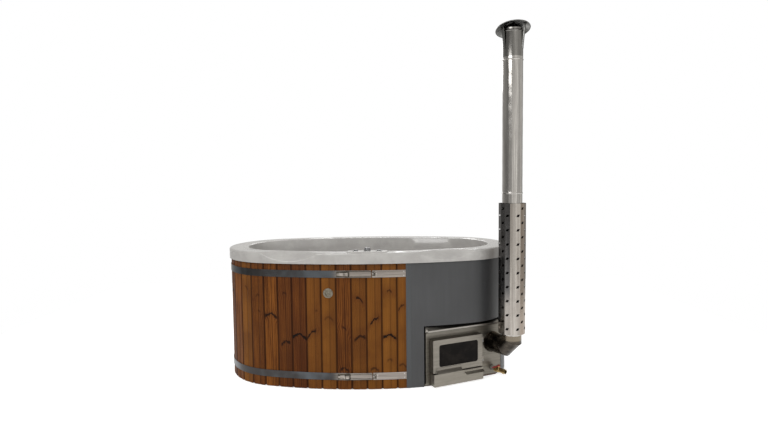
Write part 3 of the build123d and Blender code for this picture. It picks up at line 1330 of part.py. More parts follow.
def make_valve_body():
    """Ball valve: socket, barrel and ball along the pipe, gland and stem on top."""
    a = VALVE_START
    b = VALVE_START + VALVE_LENGTH
    x, y, z = drain_line((a + b) / 2)
    socket = rod(VALVE_SOCKET_RADIUS, drain_line(a), drain_line(a + VALVE_SOCKET_LENGTH))
    barrel = rod(VALVE_BARREL_RADIUS, drain_line(a + VALVE_SOCKET_LENGTH / 2), drain_line(b))
    body = socket + barrel + Pos(x, y, z) * Sphere(VALVE_BALL_RADIUS)
    body = body - rod(DRAIN_BORE_RADIUS, drain_line(a - 1), drain_line(b + 1))
    inside = (x, y, z + VALVE_BALL_RADIUS - SUMP_MARGIN)
    hub_bottom = VALVE_LEVER_Z - VALVE_HUB_HEIGHT / 2
    gland = rod(VALVE_GLAND_RADIUS, inside, (x, y, hub_bottom - SEAT_GAP))
    stem = rod(VALVE_STEM_RADIUS, inside, (x, y, VALVE_LEVER_Z + VALVE_HUB_HEIGHT / 2 - 1))
    return body + gland + stem


def make_valve_handle():
    """Lever with a hub on the stem and a dipped, rounded grip."""
    hub = Cylinder(VALVE_HUB_RADIUS, VALVE_HUB_HEIGHT)
    half = VALVE_LEVER_WIDTH / 2
    grip = box(0, VALVE_LEVER_LENGTH, -half, half, 1 - VALVE_LEVER_SHEET, 1)
    grip = fillet(grip.edges().filter_by(Axis.Z).sort_by(Axis.X)[2:], half - 0.5)
    handle = hub + grip - Cylinder(VALVE_STEM_RADIUS + PIN_CLEARANCE, 4 * VALVE_HUB_HEIGHT)
    x, y, z = drain_line(VALVE_START + VALVE_LENGTH / 2)
    return Location((x, y, VALVE_LEVER_Z), (0, 0, OUT_TURN - 90)) * handle


def make_outlet_nut():
    """Hexagon with a plain spout, bored for a hose tail."""
    start = VALVE_START + VALVE_LENGTH
    hexagon = RegularPolygon(OUTLET_NUT_RADIUS, 6, major_radius=True) - Circle(OUTLET_BORE_RADIUS)
    plane = Plane(origin=drain_line(start), z_dir=(OUT[0], OUT[1], 0))
    nut = extrude(plane * hexagon, amount=OUTLET_NUT_LENGTH)
    spout = tube(DRAIN_PIPE_RADIUS, OUTLET_BORE_RADIUS, drain_line(start), drain_line(start + OUTLET_LENGTH))
    return nut + spout


# Write every node

save("base_plate", make_base_plate())
save("bearers", *make_bearers())
save("lower_rail", make_lower_rail())
save("upper_rail", make_rail(UPPER_RAIL_Z))
save("studs", *make_studs())
for group, name in enumerate(STAVE_GROUPS):
    save(name, *make_staves(group))
save("casing_front", make_casing_front())
save("casing_end", casing_sheet(CASING_SEAM + CASING_GAP, 2 * HALF_ROUND - CASING_SEAM - CASING_GAP))
save("casing_rear", casing_sheet(2 * HALF_ROUND - CASING_SEAM, 2 * HALF_ROUND - WOOD_END - CASING_GAP))
save("casing_trims", *make_trims())
save("hoop_upper", *make_hoop(UPPER_HOOP_Z))
save("hoop_lower", *make_hoop(LOWER_HOOP_Z))
save("hoop_rivets", *make_hoop_rivets())
for level, height in (("upper", UPPER_HOOP_Z), ("lower", LOWER_HOOP_Z)):
    save(f"latch_base_{level}", Pos(0, 0, height) * make_latch_base())
    save(f"latch_eye_{level}", Pos(0, 0, height) * make_latch_eye())
    save(f"latch_lever_{level}", Pos(0, 0, height) * make_latch_lever())
    save(f"latch_bail_{level}", Pos(0, 0, height) * make_latch_bail())
shell = make_shell()
save("basin_rim", shell & slab(RIM_BOTTOM, RIM_TOP + 2 * DECK_RISE))
save("basin", shell & slab(WELL_SEAM, RIM_BOTTOM))
save("basin_well", shell & slab(0, WELL_SEAM))
save("bezels", *make_bezels())
save("button_left", make_button(CONTROL_X[0]))
save("button_right", make_button(CONTROL_X[2]))
save("air_knob", make_knob())
save("overflow_fitting", make_overflow_fitting())
save("overflow_pipe", make_overflow_pipe())
save("inlet_grilles", *make_inlet_grilles())
save("floor_drain", make_floor_drain())
save("stove_body", make_stove_body())
save("face_panel", make_face_panel())
save("hood_strip", make_hood_strip())
save("fire_grate", make_fire_grate())
save("water_pipes", *make_water_pipes())
save("door_shell", make_door_shell())
save("door_glass", make_door_glass())
save("glass_clips", *make_glass_clips())
save("door_pull", make_door_pull())
save("hinge_brackets", *make_hinge_brackets())
save("hinge_pins", *make_hinge_pins())
save("ash_drawer", make_ash_drawer())
save("flue_elbow", make_flue_elbow())
save("lower_pipe", make_pipe(LOWER_PIPE_BOTTOM, SEAM_1))
save("upper_pipe", make_pipe(SEAM_1, SEAM_2))
save("cap_sleeve", make_pipe(SEAM_2, SLEEVE_TOP))
save("heat_shield", make_heat_shield())
save("shield_spacers", *make_shield_spacers())
save("cap_cone", make_cap_cone())
save("cap_legs", *make_cap_legs())
save("drain_pipe", make_drain_pipe())
save("valve_body", make_valve_body())
save("valve_handle", make_valve_handle())
save("outlet_nut", make_outlet_nut())
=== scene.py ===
import math
import bpy
import numpy as np
from mathutils import Matrix, Vector


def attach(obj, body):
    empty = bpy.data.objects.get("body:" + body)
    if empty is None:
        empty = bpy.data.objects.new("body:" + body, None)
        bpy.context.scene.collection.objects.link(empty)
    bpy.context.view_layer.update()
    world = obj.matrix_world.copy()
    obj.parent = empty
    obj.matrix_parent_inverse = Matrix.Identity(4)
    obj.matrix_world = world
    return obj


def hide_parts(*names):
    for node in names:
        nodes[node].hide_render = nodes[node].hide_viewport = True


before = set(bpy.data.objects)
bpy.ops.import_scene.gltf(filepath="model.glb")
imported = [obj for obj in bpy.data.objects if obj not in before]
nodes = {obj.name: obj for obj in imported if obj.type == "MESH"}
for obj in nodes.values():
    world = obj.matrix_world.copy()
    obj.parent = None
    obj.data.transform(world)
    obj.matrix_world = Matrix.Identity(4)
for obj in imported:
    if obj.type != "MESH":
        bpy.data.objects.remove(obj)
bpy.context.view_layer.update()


# Camera: a normal lens at head height, a little more than four metres in front of the tub.
# It looks almost level, so the rim shows as a narrow oval.

LENS_MM, SENSOR_MM = 25.843, 36
STAND = Vector((0.0595545, -4.3298636, 1.467251))
YAW, PITCH, ROLL = 0.0147361, 0.0654219, -0.0109815

ahead = Vector((math.sin(YAW) * math.cos(PITCH), math.cos(YAW) * math.cos(PITCH), -math.sin(PITCH)))
level_right = Vector((math.cos(YAW), -math.sin(YAW), 0))
level_up = Vector((math.sin(YAW) * math.sin(PITCH), math.cos(YAW) * math.sin(PITCH), math.cos(PITCH)))
right = level_right * math.cos(ROLL) + level_up * math.sin(ROLL)
up = level_up * math.cos(ROLL) - level_right * math.sin(ROLL)
camera = bpy.data.objects.new("camera", bpy.data.cameras.new("camera"))
camera.data.sensor_width = SENSOR_MM
camera.data.lens = LENS_MM
camera.matrix_world = Matrix((
    (right.x, up.x, -ahead.x, STAND.x), (right.y, up.y, -ahead.y, STAND.y),
    (right.z, up.z, -ahead.z, STAND.z), (0, 0, 0, 1)))
bpy.context.scene.collection.objects.link(camera)
bpy.context.scene.camera = camera
bpy.context.scene.view_settings.view_transform = "Standard"


# Studio: white paper underfoot and behind, a wide soft lamp over the front, a weaker one from the
# right and one from behind. Light and dark walls ring the room, and only shiny surfaces show them.

def step(tree, kind, *feeds, **options):
    """Adds a node to a finish, sets its options and feeds its inputs in order; None leaves one as it is."""
    made = tree.nodes.new("ShaderNode" + kind)
    for option, value in options.items():
        setattr(made, option, value)
    for socket, feed in zip(made.inputs, feeds):
        if isinstance(feed, bpy.types.NodeSocket):
            tree.links.new(feed, socket)
        elif feed is not None:
            socket.default_value = feed
    return made


def sums(tree, operation, *feeds):
    """One arithmetic step, and the value that comes out."""
    return step(tree, "Math", *feeds, operation=operation).outputs[0]


FLOOR_REACH, FLOOR_DROP = 3.6, 0.0005
PAPER_WHITE, PAPER_GLOW = (0.80, 0.80, 0.80, 1), 0.62

floor_mesh = bpy.data.meshes.new("floor")
floor_mesh.from_pydata(
    [(x * FLOOR_REACH, y * FLOOR_REACH, -FLOOR_DROP) for x, y in ((-1, -1), (1, -1), (1, 1), (-1, 1))],
    [], [(0, 1, 2, 3)])
floor = bpy.data.objects.new("floor", floor_mesh)
bpy.context.scene.collection.objects.link(floor)
paper = bpy.data.materials.new("floor_paper")
paper.use_nodes = True
paper.node_tree.nodes.clear()
tree = paper.node_tree
matt = step(tree, "BsdfDiffuse", PAPER_WHITE)
glow = step(tree, "Emission", (1, 1, 1, 1), PAPER_GLOW)
path = step(tree, "LightPath")
seen = sums(tree, "MAXIMUM", path.outputs["Is Camera Ray"],
            sums(tree, "MAXIMUM", path.outputs["Is Glossy Ray"], path.outputs["Is Transmission Ray"]))
both = step(tree, "AddShader", matt.outputs[0], glow.outputs[0])
surface = step(tree, "MixShader", seen, matt.outputs[0], both.outputs[0])
tree.links.new(surface.outputs[0], step(tree, "OutputMaterial").inputs[0])
floor_mesh.materials.append(paper)

# Walls as a turn round the room in degrees from the front, and their brightness there
WALL_TONES = (
    (-180, 0.50), (-158, 0.43), (-128, 0.32), (-99, 0.22), (-69, 0.17), (-56, 0.23), (-42, 0.36), (-30, 0.28),
    (-17, 0.44), (-8, 0.72), (3, 0.50), (14, 0.85), (24, 0.56), (33, 1.0), (45, 0.50), (58, 0.62), (70, 0.42),
    (85, 0.60), (98, 0.64), (124, 0.30), (150, 0.36), (179, 0.50))
WALL_GREEN, WALL_BLUE = 0.985, 0.955
AMBIENT_TINT = (1.0, 0.99, 0.97, 1)
AMBIENT_LIGHT, MIRRORED_LIGHT, BACKDROP_LIGHT = 0.62, 1.4, 1.0
STOPS_GIVEN = 2

world = bpy.data.worlds.new("studio")
bpy.context.scene.world = world
world.use_nodes = True
world.node_tree.nodes.clear()
tree = world.node_tree
path = step(tree, "LightPath")
way = step(tree, "SeparateXYZ", step(tree, "TexCoord").outputs["Generated"])
from_front = sums(tree, "ARCTAN2", way.outputs[0], sums(tree, "MULTIPLY", way.outputs[1], -1.0))
walls = step(tree, "ValToRGB", sums(tree, "MULTIPLY_ADD", from_front, 0.5 / math.pi, 0.5))
tones = walls.color_ramp.elements
for number, (degrees, tone) in enumerate(WALL_TONES):
    spot = tones[number] if number < STOPS_GIVEN else tones.new(1.0)
    spot.position = degrees / 360 + 0.5
    spot.color = (tone, tone * WALL_GREEN, tone * WALL_BLUE, 1)
ambient = step(tree, "Background", AMBIENT_TINT, AMBIENT_LIGHT)
mirrored = step(tree, "Background", walls.outputs[0], MIRRORED_LIGHT)
backdrop = step(tree, "Background", (1, 1, 1, 1), BACKDROP_LIGHT)
room = step(tree, "MixShader", path.outputs["Is Glossy Ray"], ambient.outputs[0], mirrored.outputs[0])
clear = sums(tree, "MAXIMUM", path.outputs["Is Camera Ray"], path.outputs["Is Transmission Ray"])
around_all = step(tree, "MixShader", clear, room.outputs[0], backdrop.outputs[0])
tree.links.new(around_all.outputs[0], step(tree, "OutputWorld").inputs[0])

for lamp_name, place, aim, size, watts, mirrored_in_steel in (
    ("key", (-2.6, -4.2, 4.6), (0, 0, 0.7), 3.4, 170, True),
    ("fill", (4.2, -3.2, 2.4), (0.2, 0, 0.9), 2.6, 55, False),
    ("back", (0.5, 4.5, 4.2), (0, 0, 0.9), 3.0, 90, True),
):
    lamp = bpy.data.lights.new(lamp_name, "AREA")
    lamp.energy = watts
    lamp.size = size
    lamp_object = bpy.data.objects.new(lamp_name, lamp)
    lamp_object.location = place
    lamp_object.visible_glossy = mirrored_in_steel
    lamp_object.rotation_euler = (Vector(aim) - Vector(place)).to_track_quat("-Z", "Y").to_euler()
    bpy.context.scene.collection.objects.link(lamp_object)


# Staves: planed softwood boards, heat-treated brown, with bead-and-cove edges and a shallow
# groove down the middle. They stand side by side round the oval, held by two steel hoops.

HALF_LENGTH, HALF_WIDTH, END_RADIUS = 1.065, 0.555, 0.465
SIDE_RADIUS = ((HALF_LENGTH ** 2 + HALF_WIDTH ** 2 - 2 * HALF_LENGTH * END_RADIUS)
               / (2 * (HALF_WIDTH - END_RADIUS)))
END_CENTRE = HALF_LENGTH - END_RADIUS
SIDE_CENTRE = SIDE_RADIUS - HALF_WIDTH
ARC_TURN = math.atan2(SIDE_CENTRE, END_CENTRE)
END_RUN = END_RADIUS * ARC_TURN
SIDE_RUN = SIDE_RADIUS * (math.pi - 2 * ARC_TURN)
WOOD_END = 1.620
BOARD_PITCH, BOARD_GAP = 0.1061, 0.0004
BOARD_BOTTOM, BOARD_TOP, BOARD_THICKNESS = 0.004, 0.897, 0.022
BOARD_EASING, BOARD_CUPPING = 0.0018, 0.0004
GROOVE_DEPTH, GROOVE_WIDTH, GROOVE_CURVE = 0.0042, 0.0066, 1.4
NOTCH_DEPTH, NOTCH_WIDTH = 0.008, 0.0055
MIDDLE_GROOVE_DEPTH, MIDDLE_GROOVE_WIDTH, MIDDLE_GROOVE_PLACE = 0.0016, 0.0045, 0.56
NARROW_BOARD, FULL_BOARD = 0.09, 0.10
# How far the painted shade in the board grooves spreads, and how strong it is in the middle groove
GROOVE_SHADE_WIDTH, MIDDLE_GROOVE_SHADE, MIDDLE_GROOVE_SHADE_SHARE = 0.0062, 0.42, 0.9
# Where a cross-section has its points, as shares of a board's width; they crowd at the grooves
SECTION_SHARES = np.array([
    0, .008, .02, .035, .055, .085, .12, .18, .27, .37, .45, .49, .515, .535, .55, .56, .57,
    .585, .605, .63, .67, .74, .82, .88, .915, .945, .965, .98, .992, 1])


def wall_at(s, offset):
    """Points and outward normals on the oval at distances s from its left tip.

    The oval is four arcs. Each s falls on the arc whose start lies last before it, and its normal's
    angle is the arc's first angle plus the run along the arc over the arc's radius.
    """
    start = np.array([-END_RUN - SIDE_RUN, -END_RUN, END_RUN, END_RUN + SIDE_RUN, 3 * END_RUN + SIDE_RUN])
    radius = np.array([SIDE_RADIUS, END_RADIUS, SIDE_RADIUS, END_RADIUS, SIDE_RADIUS])
    centre_x = np.array([0, -END_CENTRE, 0, END_CENTRE, 0])
    centre_y = np.array([-SIDE_CENTRE, 0, SIDE_CENTRE, 0, -SIDE_CENTRE])
    half_turns = np.array([0, math.pi, math.pi, 2 * math.pi, 2 * math.pi])
    angle = half_turns + ARC_TURN * np.array([1, -1, 1, -1, 1])
    s = np.asarray(s, float)
    arc = np.clip(np.searchsorted(start, s, side="right") - 1, 0, 4)
    turn = angle[arc] + (s - start[arc]) / radius[arc]
    out = np.stack([np.cos(turn), np.sin(turn)], -1)
    reach = (radius[arc] + offset)[..., None]
    return np.stack([centre_x[arc], centre_y[arc]], -1) + out * reach, out


def skin(points, around=False):
    """Four-cornered faces over a grid of points, joined round the second direction if around is true."""
    rows, columns = points.shape[:2]
    number = np.arange(rows * columns).reshape(rows, columns)
    if around:
        number = np.concatenate([number, number[:, :1]], 1)
    return np.stack([number[:-1, :-1], number[:-1, 1:], number[1:, 1:], number[1:, :-1]], -1).reshape(-1, 4)


def new_piece(name, points, faces, material, body, replaced=()):
    """Puts computed points and faces into a smooth-shaded mesh that rides on a body."""
    mesh = bpy.data.meshes.new(name)
    mesh.from_pydata(points.reshape(-1, 3).tolist(), [], [list(face) for face in faces])
    mesh.shade_smooth()
    mesh.materials.append(material)
    piece = bpy.data.objects.new(name, mesh)
    bpy.context.scene.collection.objects.link(piece)
    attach(piece, body)
    if replaced:
        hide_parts(*replaced)
    return piece


def crisp_corners(piece, degrees):
    """Parts a smooth surface along the edges where its faces meet at more than so many degrees."""
    split = piece.modifiers.new("crisp_corners", "EDGE_SPLIT")
    split.split_angle = math.radians(degrees)


def shade_between(tree, share, first, second):
    """Colour that goes from the first to the second as share goes from 0 to 1."""
    made = step(tree, "Mix", data_type="RGBA")
    for socket, feed in ((made.inputs[0], share), (made.inputs[6], first), (made.inputs[7], second)):
        if isinstance(feed, bpy.types.NodeSocket):
            tree.links.new(feed, socket)
        else:
            socket.default_value = feed
    return made.outputs[2]


def laid_over(tree, share, strength, base, colour):
    """The base with a colour laid over it, as strongly as share times strength."""
    return shade_between(tree, sums(tree, "MULTIPLY", share, strength), base, colour)


def ramp(tree, share, low, high):
    """Smooth step from 0 at low to 1 at high."""
    made = step(tree, "MapRange", share, low, high, 0.0, 1.0, interpolation_type="SMOOTHSTEP")
    return made.outputs[0]


def clouds(tree, place, scale, detail, roughness=None, lacunarity=None):
    """Noise from 0 to 1 over a place, about scale clouds to a metre, with finer clouds in them."""
    return step(tree, "TexNoise", place, None, scale, detail, roughness, lacunarity).outputs[0]


def emboss(tree, shader, strength, distance, height):
    """Raises and sinks a shader's surface by a height."""
    bump = step(tree, "Bump", strength, distance, None, height)
    tree.links.new(bump.outputs["Normal"], shader.inputs["Normal"])


def new_finish(name, **constants):
    """A material with one principled shader; constants are set on the shader's own sockets."""
    material = bpy.data.materials.new(name)
    material.use_nodes = True
    tree = material.node_tree
    tree.nodes.clear()
    shader = tree.nodes.new("ShaderNodeBsdfPrincipled")
    for socket, value in constants.items():
        shader.inputs[socket.replace("_", " ")].default_value = value
    tree.links.new(shader.outputs[0], step(tree, "OutputMaterial").inputs[0])
    return material, tree, shader


KNOTS_PER_BOARD = 3
KNOT_TRAITS = ("heights", "weights", "leans", "peaks", "spans")
KNOT_SLOPE, KNOT_WOBBLE = 0.60, 0.026
KNOT_LINE, KNOT_LINE_GROWTH = 0.0066, 0.10
KNOT_PULL_FALL, KNOT_PULL = -900.0, -0.45
PALE_WOOD, DARK_WOOD = (0.205, 0.068, 0.0112, 1), (0.058, 0.0158, 0.0034, 1)

wood, tree, shader = new_finish("brown_softwood", Specular_IOR_Level=0.09)
flat = step(tree, "SeparateXYZ", step(tree, "TexCoord").outputs["UV"])
across, along = flat.outputs[0], flat.outputs[1]
board = step(tree, "Attribute", attribute_name="board").outputs["Fac"]
groove = step(tree, "Attribute", attribute_name="groove").outputs["Fac"]
face_place = step(tree, "CombineXYZ", across, along, board).outputs[0]

# A knot is a ragged dark line like a low roof, which leans aside from its peak and fades at its
# ends. The grain is pulled together where a knot's line is near.
trait_feeds = []
for trait in KNOT_TRAITS:
    stored = step(tree, "Attribute", attribute_name="knot_" + trait).outputs["Vector"]
    trait_feeds.append(step(tree, "SeparateXYZ", stored).outputs)
wobble = sums(tree, "MULTIPLY_ADD", clouds(tree, face_place, 55.0, 2.0), KNOT_WOBBLE, -KNOT_WOBBLE / 2)
ragged = sums(tree, "MULTIPLY_ADD", clouds(tree, face_place, 150.0, 3.0), 2.6, -0.3)
knots = pull = 0.0
for k in range(KNOTS_PER_BOARD):
    height, weight, lean, peak, span = (feeds[k] for feeds in trait_feeds)
    drop = sums(tree, "SUBTRACT", along, height)
    beside = sums(tree, "SUBTRACT", across, peak)
    aside = sums(tree, "ABSOLUTE", beside)
    line = sums(tree, "ADD", sums(tree, "MULTIPLY_ADD", aside, KNOT_SLOPE, drop), wobble)
    line = sums(tree, "ADD", line, sums(tree, "MULTIPLY", beside, lean))
    thick = sums(tree, "MULTIPLY", sums(tree, "MULTIPLY_ADD", aside, KNOT_LINE_GROWTH, KNOT_LINE), ragged)
    faded = sums(tree, "SUBTRACT", 1.0, ramp(tree, sums(tree, "DIVIDE", aside, span), 0.75, 1.15))
    off_line = sums(tree, "DIVIDE", sums(tree, "ABSOLUTE", line), thick)
    mark = sums(tree, "SUBTRACT", 1.0, ramp(tree, off_line, 0.60, 1.5))
    mark = sums(tree, "MULTIPLY", sums(tree, "MULTIPLY", mark, faded), weight)
    near = sums(tree, "MULTIPLY", sums(tree, "MULTIPLY", line, line), KNOT_PULL_FALL)
    near = sums(tree, "MULTIPLY", sums(tree, "EXPONENT", near), weight)
    knots = sums(tree, "MAXIMUM", knots, mark)
    pull = sums(tree, "MAXIMUM", pull, near)

# Grain: fine and broad fibres drawn out along the board, and rings, all shifted from board to board
bent = sums(tree, "MULTIPLY", across, sums(tree, "MULTIPLY_ADD", pull, KNOT_PULL, 1.0))
fibre_place = step(tree, "CombineXYZ", bent, sums(tree, "MULTIPLY", along, 0.055),
                   sums(tree, "MULTIPLY", board, 40.0)).outputs[0]
ring_place = step(tree, "CombineXYZ", bent, sums(tree, "MULTIPLY", along, 0.10),
                  sums(tree, "MULTIPLY", board, 23.0)).outputs[0]
fine = clouds(tree, fibre_place, 260.0, 5.0, 0.6)
broad = clouds(tree, fibre_place, 42.0, 3.0, 0.55, 1.0)
rings = step(tree, "TexWave", ring_place, 24.0, 5.0, 3.0, 1.2, 0.6, bands_direction="X").outputs["Fac"]
figure = sums(tree, "MULTIPLY_ADD", rings, 0.26, sums(tree, "MULTIPLY", fine, 0.36))
figure = sums(tree, "MULTIPLY_ADD", broad, 0.55, figure)
draw = step(tree, "TexWhiteNoise", None, board, noise_dimensions="1D")
red_draw = draw.outputs["Value"]
golden_draw = step(tree, "SeparateColor", draw.outputs["Color"]).outputs[1]
right_half = ramp(tree, across, 0.004, 0.012)
blotch = clouds(tree, face_place, 5.0, 3.0)
warm = shade_between(tree, ramp(tree, figure, 0.40, 0.78), PALE_WOOD, DARK_WOOD)
for share, strength, colour in (
    (red_draw, 0.85, (0.066, 0.0180, 0.0046, 1)),  # redder boards
    (ramp(tree, golden_draw, 0.40, 0.90), 0.65, (0.240, 0.094, 0.0150, 1)),  # golden boards
    (right_half, sums(tree, "MULTIPLY", red_draw, 0.35), (0.060, 0.0180, 0.0050, 1)),
    (ramp(tree, blotch, 0.40, 0.72), 0.38, (0.060, 0.0185, 0.0050, 1)),
    (ramp(tree, along, 0.815, 0.885), 0.35, (0.068, 0.0250, 0.0110, 1)),  # painted shade under the rim
    # painted shade in the board grooves
    (groove, 0.90, (0.0200, 0.0058, 0.0018, 1)),
    (pull, 0.45, (0.075, 0.0220, 0.0060, 1)),  # darker wood round a knot
    (knots, 1.0, (0.0045, 0.0020, 0.0010, 1)),
):
    warm = laid_over(tree, share, strength, warm, colour)
tree.links.new(warm, shader.inputs["Base Color"])
tree.links.new(sums(tree, "MULTIPLY_ADD", figure, 0.22, 0.44), shader.inputs["Roughness"])
emboss(tree, shader, 0.35, 0.0006, sums(tree, "ADD", fine, broad))

# Knots on the boards that face the camera: board, height, weight, lean, peak off the middle, reach
SEEN_KNOTS = (
    (4, 0.708, 0.50, 0.8, 0.000, 0.016), (5, 0.660, 0.40, -0.2, 0.000, 0.018),
    (5, 0.547, 0.50, 0.6, 0.010, 0.010), (6, 0.533, 0.90, 0.1, 0.000, 0.052),
    (7, 0.684, 0.60, 0.3, 0.000, 0.016), (7, 0.338, 0.85, -0.2, 0.004, 0.036),
    (8, 0.395, 1.00, 0.1, 0.000, 0.060), (9, 0.410, 0.95, -0.9, -0.018, 0.034),
    (9, 0.566, 0.40, -0.3, 0.020, 0.008), (10, 0.519, 0.35, 0.1, 0.000, 0.034),
    (11, 0.446, 0.80, 0.7, 0.004, 0.014), (11, 0.158, 0.80, 0.1, 0.000, 0.030),
    (12, 0.652, 0.90, 0.7, 0.004, 0.024), (12, 0.387, 0.80, -0.2, 0.006, 0.042),
    (13, 0.504, 0.95, -0.8, 0.000, 0.030), (13, 0.156, 0.60, 0.2, 0.000, 0.030),
    (14, 0.705, 0.60, 0.1, 0.000, 0.018), (14, 0.394, 1.00, 0.1, 0.000, 0.050),
    (14, 0.217, 0.40, -0.2, 0.000, 0.020), (15, 0.590, 0.70, -0.8, -0.012, 0.022),
    (15, 0.177, 0.50, 0.4, 0.000, 0.030),
)
FRONT_BOARDS = range(3, 16)
# The other boards' knots are drawn between these limits, in the order of KNOT_TRAITS
DRAWN_KNOTS = ((0.06, 0.80), (0.0, 1.0), (-0.8, 0.8), (-0.02, 0.02), (0.010, 0.045))
KNOT_SEED, FAINT_KNOTS, DARKEST_KNOT = 400, 1.6, 0.9
BOARD_STRIDE, BOARD_START = 0.37, 11.3
WEIGHTS = KNOT_TRAITS.index("weights")


def make_boards(name, first, last):
    """One group of staves.

    Each board's face lies in the wall's tangent plane at the board's middle, and its sides lie in the
    planes through the joints along the wall's normals. A cross-section runs from side to side with
    depth = edge groove x (1 - distance from edge / groove width) ^ 1.4, plus a bell-shaped middle groove
    on boards of full width, plus cupping that grows with the square of the distance from the middle,
    and comes back along the rear. The section is repeated up the board, set back at the two ends, and
    the foot rises by a bell-shaped notch at each joint.
    """
    k = np.arange(first, last)
    edges = np.stack([np.maximum((k - 0.5) * BOARD_PITCH, -WOOD_END),
                      np.minimum((k + 0.5) * BOARD_PITCH, WOOD_END)], -1)
    middle, face = wall_at(edges.mean(1), 0)
    joint, out = wall_at(edges, 0)
    along_wall = np.stack([-out[..., 1], out[..., 0]], -1)
    spare = along_wall * np.array([1, -1])[None, :, None] * (BOARD_GAP / 2)
    leaning = (out * face[:, None]).sum(-1)
    corners = []
    for depth in (0, BOARD_THICKNESS):
        reach = (-depth - ((joint - middle[:, None]) * face[:, None]).sum(-1)) / leaning
        corners.append(joint + out * reach[..., None] + spare)
    front, back = corners
    width = np.linalg.norm(front[:, 1] - front[:, 0], axis=-1)[:, None]
    place = SECTION_SHARES[None] * width
    from_edge = np.minimum(place, width - place)
    bell = (place - width * MIDDLE_GROOVE_PLACE) / MIDDLE_GROOVE_WIDTH
    full = np.clip((width - NARROW_BOARD) / (FULL_BOARD - NARROW_BOARD), 0, 1)
    depth = GROOVE_DEPTH * np.clip(1 - from_edge / GROOVE_WIDTH, 0, 1) ** GROOVE_CURVE
    depth = depth + MIDDLE_GROOVE_DEPTH * np.exp(-bell ** 2) * full
    depth = depth + BOARD_CUPPING * (2 * SECTION_SHARES[None] - 1) ** 2
    heights = np.array([BOARD_BOTTOM, BOARD_BOTTOM + BOARD_EASING, 0.15, 0.45, 0.75,
                        BOARD_TOP - BOARD_EASING, BOARD_TOP])
    setback = np.array([BOARD_EASING, 0, 0, 0, 0, 0, BOARD_EASING])
    inward = depth[:, None] + setback[None, :, None]
    face_line = front[:, :1] + (front[:, 1:] - front[:, :1]) * SECTION_SHARES[None, :, None]
    plan = face_line[:, None] - face[:, None, None] * inward[..., None]
    rear = np.broadcast_to(back[:, None, ::-1], (len(k), len(heights), 2, 2))
    plan = np.concatenate([plan, rear], 2)
    notch = NOTCH_DEPTH * np.exp(-(from_edge / NOTCH_WIDTH) ** 2)
    tall = np.array(np.broadcast_to(heights[None, :, None, None], plan.shape[:3] + (1,)))
    tall[:, :2, :-2, 0] += notch[:, None]
    points = np.concatenate([plan, tall], -1)
    columns = plan.shape[2]
    per_board = len(heights) * columns
    one = skin(points[0], around=True)
    low_cap = np.arange(columns)[::-1]
    high_cap = np.arange(columns) + per_board - columns
    faces = []
    for n in range(len(k)):
        faces += (one + n * per_board).tolist()
        faces += [(low_cap + n * per_board).tolist(), (high_cap + n * per_board).tolist()]
    piece = new_piece(name + "_boards", points, faces, wood, "tub", [name])
    crisp_corners(piece, 35)
    mesh = piece.data

    def per_point(values):
        """Spreads a value for each board, or for each place across it, over all points."""
        grid = values[:, None, None] if values.ndim == 1 else values[:, None]
        return np.broadcast_to(grid, points.shape[:3]).reshape(-1).astype(np.float32)

    source = np.random.default_rng(KNOT_SEED + first)
    traits = [source.uniform(low, high, (len(k), KNOTS_PER_BOARD)) for low, high in DRAWN_KNOTS]
    traits[WEIGHTS] = traits[WEIGHTS] ** FAINT_KNOTS * DARKEST_KNOT
    for n, number in enumerate(k):
        if number in FRONT_BOARDS:
            traits[WEIGHTS][n] = 0
        own = [knot[1:] for knot in SEEN_KNOTS if knot[0] == number]
        for spot, knot in enumerate(own):
            for table, value in zip(traits, knot):
                table[n, spot] = value
    # Painted shade in the grooves: darker near each joint and along the middle groove
    near_joint = np.exp(-(from_edge / GROOVE_SHADE_WIDTH) ** 2)
    near_middle = MIDDLE_GROOVE_SHADE * np.exp(-(bell * MIDDLE_GROOVE_SHADE_SHARE) ** 2) * full
    groove_shade = np.concatenate([np.maximum(near_joint, near_middle), np.zeros((len(k), 2))], 1)
    for key, values in (("board", k * BOARD_STRIDE + BOARD_START), ("groove", groove_shade)):
        mesh.attributes.new(key, "FLOAT", "POINT").data.foreach_set("value", per_point(values))
    for trait, table in zip(KNOT_TRAITS, traits):
        spread = np.stack([per_point(table[:, n]) for n in range(KNOTS_PER_BOARD)], -1)
        stored = mesh.attributes.new("knot_" + trait, "FLOAT_VECTOR", "POINT")
        stored.data.foreach_set("vector", spread.ravel())
    from_middle = per_point(np.concatenate([place - width / 2, width / 2, -width / 2], 1))
    corner = np.zeros(len(mesh.loops), np.int32)
    mesh.loops.foreach_get("vertex_index", corner)
    spots = np.stack([from_middle[corner], points[..., 2].reshape(-1)[corner]], -1)
    mesh.uv_layers.new(name="board_face").data.foreach_set("uv", spots.astype(np.float32).ravel())


for group, first_board, last_board in (
    ("staves_rear", -15, -9), ("staves_rear_left", -9, -3), ("staves_left_end", -3, 4),
    ("staves_front_left", 4, 10), ("staves_front", 10, 16),
):
    make_boards(group, first_board, last_board)


# Hidden timber: pale sawn bearers, studs and bent rails, and a brown floor board under the tub.
# They stay as the CAD made them and get sawn-timber and film-faced-board finishes.

WELD_REACH, EDGE_SEGMENTS, FLAT_WITHIN = 0.00002, 2, 1


